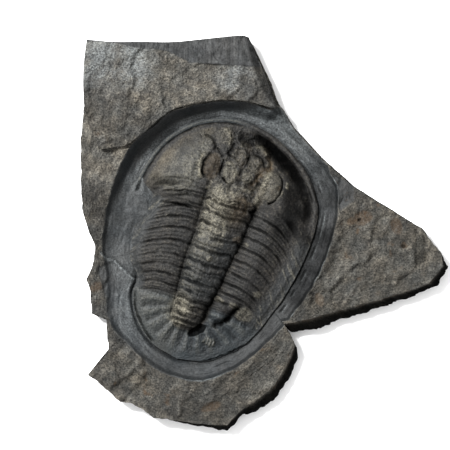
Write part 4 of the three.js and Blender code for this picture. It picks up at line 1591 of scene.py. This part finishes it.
    def ribs(self, relief: Relief, at: Segments, reach: Array) -> None:
        """Ribs of the side lobes: furrows between segments, one along each, and fine lines beside them, with
        painted shade in them and over the outer right side lobe.

        Args:
            relief: What is ribbed.
            at: Where each point lies among the rings.
            reach: Distance from the middle to the margin on the point's own side.
        """
        q, p = relief.x, relief.y
        side = np.clip((np.abs(at.shifted) - at.half) / np.clip(reach - at.half, 1, None), 0, 1)
        ribbed = band(p, -60, -57, 24, 30) * smooth(at.swept, -44, -38)
        knee = np.where(q < 0, smooth(side, 0.86, 0.70), smooth(side, 0.80, 0.58))
        on_side = ribbed * (1.0 - at.on_axis) * (0.15 + 0.85 * knee)
        wear = smooth(fractal(q * 0.6, at.swept, 7, 3, 313), -0.6, 0.35)
        deep = bell(at.gap, 0, 0.4 + 0.35 * wear) * (0.25 + 0.75 * wear)
        lines = bell((at.phase - 0.40) * at.spacing, 0, 0.45)
        lines = lines + 0.7 * bell((at.phase - 0.72) * at.spacing, 0, 0.4)
        lines = lines * smooth(fractal(q * 0.7, at.whole * 5.0 + at.phase, 8, 2, 321), -0.5, 0.3)
        fine = fractal(q * 0.22, at.swept, 1.5, 2, 314, 0.8)
        swell = 0.40 * np.sin(math.pi * at.phase)
        relief.height += on_side * (swell - 1.15 * deep - 0.6 * lines + 0.36 * fine)
        relief.height += ribbed * (1 - at.on_axis) * 0.30 * relief.noise(2.2, 3, 322, 0.8)
        # Painted shade in the furrows and lines, and over the outer part of the right side lobe.
        relief.lay_tint(Tint.PAINTED_SHADE_AND_DARKENING, on_side * (0.8 * deep + 0.38 * lines))
        relief.lay_tint(Tint.PAINTED_SHADE_AND_DARKENING, 0.22 * ribbed * band(q, 24, 31, 38, 46))
        tips = smooth(side, 0.70, 0.84) * band(p, -50, -42, 12, 22)
        flow = np.where(q < 0, q * 0.86 - p * 0.50, q * 0.80 + p * 0.60)
        run = np.where(q < 0, q * 0.50 + p * 0.86, q * 0.60 - p * 0.80)
        streaks = fractal(flow, run * 0.15, 2.3, 3, 315, 0.7)
        relief.height += 0.45 * tips * streaks
        relief.lay_tint(Tint.CARVED, 0.5 * tips)
        relief.lay_tint(Tint.PALE, 0.45 * tips * smooth(streaks, 0, 0.6))
        crest = 0.5 + 0.35 * fractal(q, at.swept, 5, 4, 316, 0.7) + 0.25 * fine
        # A lower crest tint in the furrows, so that they take the painted shade of hollows.
        relief.tints[Tint.CREST] = np.clip(crest - 0.3 * on_side * (deep + 0.6 * lines), 0, 1)

    def head(self, relief: Relief, inside: Array) -> None:
        """Border, cheeks and gutter of the head shield. Painted shade lies in the border's furrows, in the
        gutter, on the right cheek and inside the right front border; a painted highlight runs along the left
        border's rim and a painted sheen lies on the left cheek.
        """
        q, p = relief.x, relief.y
        outer = [*reversed(LEFT_MARGIN[:6]), (HEAD_TIP, 0), *RIGHT_MARGIN[:5]]
        gap, run = line_distance(q, p, through([(across, along) for along, across in outer], fineness=6))
        left, right = smooth(run, 0.56, 0.46), smooth(run, 0.50, 0.58) * smooth(run, 0.995, 0.94)
        worn = 0.25 + 0.75 * smooth(fractal(run * 130, 0 * gap, 9, 3, 334), -0.3, 0.4)
        gap = gap + 0.5 * fractal(run * 130, gap, 7, 4, 333, 0.6)
        border = bell(gap, 3.2, 0.45)
        relief.height += left * (0.35 * bell(gap, 1.2, 1.1) - (0.5 + 0.7 * worn) * border)
        # Painted shade in the left border's furrow.
        relief.lay_tint(Tint.PAINTED_SHADE_AND_DARKENING, left * 0.85 * worn * border)
        relief.lay_tint(Tint.CARVED, left * smooth(gap, 3.2, 2.4))
        # Painted highlight along the left border's rim, which faces the light.
        relief.lay_tint(Tint.PALE, 0.26 * left * bell(gap, 1.2, 0.7) * worn)
        relief.height += right * worn * (0.5 * bell(gap, 1.6, 0.8) - 0.9 * border - 0.6 * bell(gap, 0.2, 0.5))
        # Painted shade in the right border's furrows.
        relief.lay_tint(Tint.PAINTED_SHADE_AND_DARKENING, right * worn * 0.8 * (bell(gap, 3.2, 0.5) + bell(gap, 0.3, 0.5)))
        width = table(run, self.GUTTER_WIDTH)
        gutter = smooth(gap, 3, 4.5) * smooth(gap, 4.0 + width, 3.5 + 0.5 * width)
        gutter = gutter * right * smooth(run, 0.50, 0.56)
        plates = smooth(creased(q, p, 8, 3, 348, 0.6), -0.3, 0.4)
        relief.height += gutter * (0.5 * plates - 1.2)
        # Painted shade in the gutter inside the right border.
        relief.lay_tint(Tint.PAINTED_SHADE_AND_DARKENING, (1.0 - 0.16 * plates) * gutter * table(run, self.GUTTER_PAINTED_SHADE))
        cheek = smooth(q, 27, 33) * smooth(p, 10, 22) * smooth(gap, 3, 6)
        relief.height += 0.16 * cheek * fractal(q, p * 0.15, 2.6, 3, 331)
        # Painted shade on the right cheek, which faces away from the light, with less of it in one place.
        lit = 1.0 - 0.6 * bell(p, 23, 6) * bell(q, 36, 7)
        relief.lay_tint(Tint.PAINTED_SHADE_AND_DARKENING, 0.66 * cheek * lit * (1 - 0.5 * relief.patches(10, 3, 335, -0.2, 0.5)))
        front = band(q, 4, 10, 30, 38) * smooth(p + 0.45 * q, 63, 69) * smooth(gap, 2.5, 4.5)
        # Painted shade inside the right front border.
        relief.lay_tint(Tint.PAINTED_SHADE_AND_DARKENING, 0.85 * front * (0.75 + 0.4 * relief.noise(7, 3, 327)))
        pale_cheek = smooth(q, -21, -27) * smooth(gap, 5, 7) * smooth(p, 14, 30) * left
        # Painted sheen on the left cheek, in patches that also place its rust.
        shine = relief.patches(14, 3, 332, -0.6, 0.6)
        relief.lay_tint(Tint.PALE, 0.38 * pale_cheek * (0.15 + 0.85 * shine))
        relief.lay_tint(Tint.CARVED, 0.45 * pale_cheek * smooth(gap, 8, 16))
        relief.lay_tint(Tint.RUST, 0.45 * pale_cheek * smooth(gap, 16, 8) * shine)
        relief.lay_tint(Tint.PAINTED_SHADE_AND_DARKENING, 0.26 * pale_cheek * (1.0 - relief.patches(5, 4, 330, -0.35, 0.45, 0.7)))
        dents = smooth(creased(q, p, 9, 2, 329), -0.3, -0.7)
        relief.height += pale_cheek * (0.30 * relief.noise(6, 4, 336, 0.7) - 0.35 * dents)

    def eyes(self, relief: Relief) -> None:
        """Left eye, a brown kidney behind a notched crest, and the pale right eye lobe, with painted shade in
        their furrows and notches.
        """
        q, p = relief.x, relief.y
        (left_q, left_p), (right_q, right_p) = self.LEFT_EYE[0], self.RIGHT_EYE[0]
        relief.mound(*self.LEFT_EYE, 2.2, 6, Tint.RUST, 0.45)
        eye = smooth(np.hypot((q - left_q) / 6, (p - left_p) / 9.6), 1, 0.8)
        relief.height += 0.7 * eye * creased(q, p * 0.5, 3, 3, 339)
        relief.lay_tint(Tint.PAINTED_SHADE_AND_DARKENING, 0.35 * eye * smooth(fractal(q, p * 0.6, 4, 3, 338), -0.3, 0.5))
        relief.mound(*self.RIGHT_EYE, 2.8, -4, Tint.PALE, 0.22, 1.7)
        lobe = smooth(np.hypot((q - right_q) / 7.5, (p - right_p) / 11.5), 1, 0.8)
        relief.height += 0.45 * lobe * creased(q, p, 6, 3, 337, 0.6)
        # Painted shade in the furrows round the eyes.
        relief.strokes(Tint.PAINTED_SHADE_AND_DARKENING, self.EYE_FURROWS)
        relief.strokes(Tint.PALE, self.EYE_RIDGES)
        # Painted shade in the notches.
        for at in self.EYE_NOTCHES:
            relief.stroke([(-28.2, at + 0.9), (-24.8, at - 0.3)], -0.55, 0.38, Tint.PAINTED_SHADE_AND_DARKENING, 0.35, 0.1)
        relief.stroke([(25.6, 45.2), (26.4, 42)], -0.3, 1.2, Tint.RUST, 0.6)
        relief.plate([(29.4, 44.6), (32.6, 43.6), (30.8, 48.2), (29, 49.2)], 0.9, 0.5, Tint.PALE, 0.6)

    def crown(self, relief: Relief, inside: Array) -> None:
        """The cracked crown: flakes, a smooth teardrop, a hollow and rubble in front, with painted shade in
        its creases, hollows, furrows and cracks.
        """
        q, p = relief.x, relief.y
        rubble = band(p, 14, 24, 68, 73) * smooth(np.abs(q), 20, 14)
        bend = 1.3 * relief.noise(5, 2, 341)
        border, number = cells(q + bend, p - bend, 5.4, 343)
        broken = creased(q + bend, p - bend, 6.5, 4, 345, 0.65)
        relief.height += rubble * (1.5 * (number - 0.5) * smooth(border, 0, 0.4) + 1.2 * broken)
        # Painted shade in the creases of the rubble and between its pieces.
        dark = 0.45 * smooth(broken, -0.25, -0.6) + 0.3 * smooth(border, 0.07, 0)
        relief.lay_tint(Tint.PAINTED_SHADE_AND_DARKENING, rubble * dark)
        proud = smooth(broken, -0.2, 0.5) * relief.patches(9, 3, 346, -0.4, 0.5)
        relief.lay_tint(Tint.PALE, 0.34 * rubble * proud)
        rusty = relief.patches(8, 4, 347, -0.1, 0.4, 0.7) * smooth(q, -10, 8)
        relief.lay_tint(Tint.RUST, 0.55 * rubble * rusty)
        relief.mounds(Tint.PALE, self.CROWN_LUMPS)
        # Painted shade in the hollows and furrows.
        relief.mounds(Tint.PAINTED_SHADE_AND_DARKENING, self.CROWN_HOLLOWS)
        relief.strokes(Tint.PAINTED_SHADE_AND_DARKENING, self.CROWN_FURROWS)
        relief.strokes(Tint.PALE, self.CROWN_RIDGES)
        relief.strokes(Tint.RUST, self.CROWN_RUSTS)
        for corners, rise, strength, slope in self.CROWN_FLAKES:
            relief.plate(corners, rise, 0.9, Tint.PALE, strength, slope)
        cracked = smooth(p, 20, 30) * smooth(inside, 4, 8) * smooth(np.abs(q + 2), 34, 24)
        cracks = creased(q, p, 5.5, 3, 328, 0.6)
        relief.height += 0.55 * cracked * cracks
        # Painted shade in the cracks.
        relief.lay_tint(Tint.PAINTED_SHADE_AND_DARKENING, 0.4 * cracked * smooth(cracks, -0.35, -0.65))

    def cheek_rear(self, relief: Relief) -> None:
        """Lines across the back of the left cheek, with painted shade in them, and the worn beige back of the
        crown.
        """
        q, p = relief.x, relief.y
        for line, depth in self.CHEEK_LINES:
            # Painted shade in each line, as strong as it is deep.
            relief.stroke(line, -0.9 * depth, 0.5, Tint.PAINTED_SHADE_AND_DARKENING, 0.5 * depth)
        warm = band(p, -22, 14, 30, 38) * smooth(np.abs(q + 5), 11.5, 6)
        relief.lay_tint(Tint.PALE, 0.62 * warm * relief.patches(4, 4, 351, -0.5, 0.45, 0.7))
        relief.mound((-42, 22), (13, 7.5), 0.9, 10)
        behind = bell(q + 41, 0, 10) * bell(p, 24, 4.5)
        relief.lay_tint(Tint.PALE, 0.26 * behind * relief.patches(5, 3, 353, -0.6, 0.3, 0.6))
        worn = smooth(np.hypot(q + 8.5, p - 24), 9, 4)
        relief.lay_tint(Tint.PALE, 0.5 * worn * relief.patches(4, 3, 352, -0.5, 0.3))
        relief.lay_tint(Tint.RUST, 0.5 * band(p, 8, 16, 28, 34) * bell(q, 6, 5))

    def tail(self, relief: Relief, inside: Array) -> None:
        """Tail shield: dished, with soft ribs that fan out from the end of the middle lobe. Painted shade
        lies between the ribs, in the furrows and in a hole, and a painted highlight on the ribs' crests and
        on the left of the shield, which faces the light.
        """
        q, p = relief.x, relief.y
        beside, ahead = q - self.tail_middle[0], p - self.tail_middle[1]
        in_tail = smooth(p + 39.5 + 0.10 * np.abs(beside), 1.5, -2.5)
        around = smooth(np.abs(beside) / np.clip(table(p, self.HALF_AXIS), 3, None), 1, 1.3)
        around = np.maximum(around, smooth(p, -58, -61))
        relief.lay_tint(Tint.CARVED, 0.95 * in_tail * around)
        out = np.hypot(beside, ahead)
        turn = np.degrees(np.arctan2(beside, -ahead)) + 4.0 * relief.noise(14, 3, 361)
        turn = turn + np.sign(beside) * 0.45 * out
        fan = np.cos(2.0 * math.pi * turn / self.rib_turn)
        ribs = in_tail * smooth(out, 9, 14) * smooth(inside, 3, 7.5)
        vary = 0.5 + 0.7 * relief.patches(10, 2, 362, -0.5, 0.5)
        profile = 0.5 * np.abs(fan) ** 0.7 * np.sign(fan) + 0.4 * creased(q, p, 5, 3, 363, 0.6)
        relief.height += ribs * vary * profile
        # Painted shade between the ribs, and a painted highlight on their crests.
        relief.lay_tint(Tint.PAINTED_SHADE_AND_DARKENING, 0.4 * ribs * smooth(fan, -0.3, -1))
        relief.lay_tint(Tint.PALE, 0.07 * ribs * smooth(fan, 0.2, 1))
        # Painted highlight on the left of the shield, which faces the light.
        relief.lay_tint(Tint.PALE, 0.10 * in_tail * around * smooth(q, 4, -14))
        for at, low in self.TAIL_FAN:
            ridge = [(0.6 * at + 6.2, -58.6), (0.9 * at + 1.6, -61), (at, low)]
            relief.stroke(ridge, 0.8, 0.75, Tint.PALE, 0.2)
        # Painted shade in the furrows, in the hole under the middle lobe and in a small ring.
        relief.strokes(Tint.PAINTED_SHADE_AND_DARKENING, self.TAIL_FURROWS)
        relief.mounds(Tint.PAINTED_SHADE_AND_DARKENING, self.DARK_SPOTS)
        relief.mounds(Tint.PALE, self.PALE_SPOTS)
        relief.mound((32, -45), (2.2, 2.2), 0.8)
        relief.mound((14.5, -42.5), (6.5, 8.6), 1.5)
        relief.mound((11.6, 4.2), (3.2, 2.6), 1.3, 20, Tint.RUST, 0.4)
        block = band(p, -61, -56, -44, -36) * bell(q, -8.2, 5.5)
        relief.lay_tint(Tint.PALE, 0.85 * block * relief.patches(5, 3, 364, -0.6, 0.3))
        relief.height += block * 0.5 * relief.noise(3, 3, 365)

    def build(self) -> bpy.types.Object:
        """Makes the carapace's mesh: the shaped face, a short skirt into the rock and a flat base."""
        across, along, reach = self.plan()
        relief = self.shape(across, along, reach)
        x, y = BODY.to_slab(across, along)
        face = np.stack([x, y, relief.height], axis=2).reshape(-1, 3)
        tips = np.array([[*BODY.to_slab(0, tip), self.edge_z] for tip in (HEAD_TIP, TAIL_TIP)])
        count = len(face)
        index = np.arange(count).reshape(self.rows, self.columns)
        rim = np.concatenate([[count], index[:, 0], [count + 1], index[::-1, -1]])
        shell = np.vstack([face, tips])
        foot = shell[rim] * (1, 1, 0) + (0, 0, self.edge_z - self.skirt)
        low = count + 2 + np.arange(len(rim))
        sides = np.stack([rim, low, np.roll(low, -1), np.roll(rim, -1)], axis=1)
        quads = np.vstack([grid_quads(self.rows, self.columns, wraps=False), sides])
        fans = [(count, index[0, i], index[0, i + 1]) for i in range(self.columns - 1)]
        fans += [(count + 1, index[-1, i + 1], index[-1, i]) for i in range(self.columns - 1)]
        plain = np.zeros(len(tips) + len(rim))
        tints = {tint: np.concatenate([values.ravel(), plain]) for tint, values in relief.tints.items()}
        points = np.vstack([shell, foot])
        piece = make_piece("trilobite_carapace", points, quads, [*fans, list(low[::-1])], tints)
        piece.data.materials.append(CARAPACE.make())
        settle(piece, "trilobite")
        return piece


# ---- the studio


@dataclass
class Studio:
    """White paper floor, one broad soft lamp from the upper left, a pale sky and a camera overhead.

    Attributes:
        aim: Where the camera looks, in millimetres.
        height: Height of the camera over the floor, in metres.
        field: Width of what it sees at the height of the slab's face, in millimetres.
        face_z: That height.
        floor_half: Half the side of the floor, in metres.
        lamp_place: Where the lamp hangs, in metres.
        lamp_size: Width of the lamp.
        lamp_power: Its power in watts.
        lamp_aim: Where it shines.
        sky_strength: Brightness of the white sky.
    """

    aim: Point = (-23.1, 3.75)
    height: float = 1.5
    field: float = 281.25
    face_z: float = 15.0
    floor_half: float = 1.6
    lamp_place: tuple[float, float, float] = (-0.74, 0.66, 1.24)
    lamp_size: float = 0.38
    lamp_power: float = 58.0
    lamp_aim: tuple[float, float, float] = (0, 0, 0.01)
    sky_strength: float = 0.95

    def build(self) -> None:
        """Makes the floor, the lamp, the sky and the camera, and sets how light turns into colour."""
        scene = bpy.context.scene
        self.lay_floor(scene)
        self.hang_lamp(scene)
        self.set_camera(scene)
        scene.view_settings.view_transform = "Standard"
        scene.view_settings.look = "Medium High Contrast"

    def lay_floor(self, scene: bpy.types.Scene) -> None:
        """Makes the paper floor, one square that faces up."""
        half = self.floor_half
        mesh = bpy.data.meshes.new("paper_floor")
        corners = [(-half, -half, 0), (half, -half, 0), (half, half, 0), (-half, half, 0)]
        mesh.from_pydata(corners, [], [(0, 1, 2, 3)])
        mesh.materials.append(FloorFinish().make())
        floor = bpy.data.objects.new("paper_floor", mesh)
        scene.collection.objects.link(floor)

    def hang_lamp(self, scene: bpy.types.Scene) -> None:
        """Makes the round lamp, aimed at the slab, and the white sky."""
        lamp = bpy.data.lights.new("soft_lamp", "AREA")
        lamp.shape, lamp.size, lamp.energy = "DISK", self.lamp_size, self.lamp_power
        holder = bpy.data.objects.new("soft_lamp", lamp)
        holder.location = self.lamp_place
        ray = Vector(self.lamp_aim) - Vector(self.lamp_place)
        holder.rotation_euler = ray.to_track_quat("-Z", "Y").to_euler()
        scene.collection.objects.link(holder)
        sky = bpy.data.worlds.new("pale_sky")
        sky.use_nodes = True
        background = sky.node_tree.nodes["Background"]
        background.inputs["Color"].default_value = (1, 1, 1, 1)
        background.inputs["Strength"].default_value = self.sky_strength
        scene.world = sky

    def set_camera(self, scene: bpy.types.Scene) -> None:
        """Makes the camera, which looks straight down."""
        lens = bpy.data.cameras.new("overhead")
        lens.sensor_width = 36.0
        lens.lens = lens.sensor_width * (self.height - self.face_z * MM) / (self.field * MM)
        camera = bpy.data.objects.new("overhead", lens)
        camera.location = (self.aim[0] * MM, self.aim[1] * MM, self.height)
        scene.collection.objects.link(camera)
        scene.camera = camera


def main() -> None:
    """Builds the studio, the rock and the fossil."""
    logging.basicConfig(level=logging.INFO, format="%(name)s: %(message)s")
    Studio().build()
    for part in (ShaleSlab(), UpperBed(), Trilobite()):
        part.build()
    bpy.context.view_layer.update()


if __name__ == "__main__":
    main()
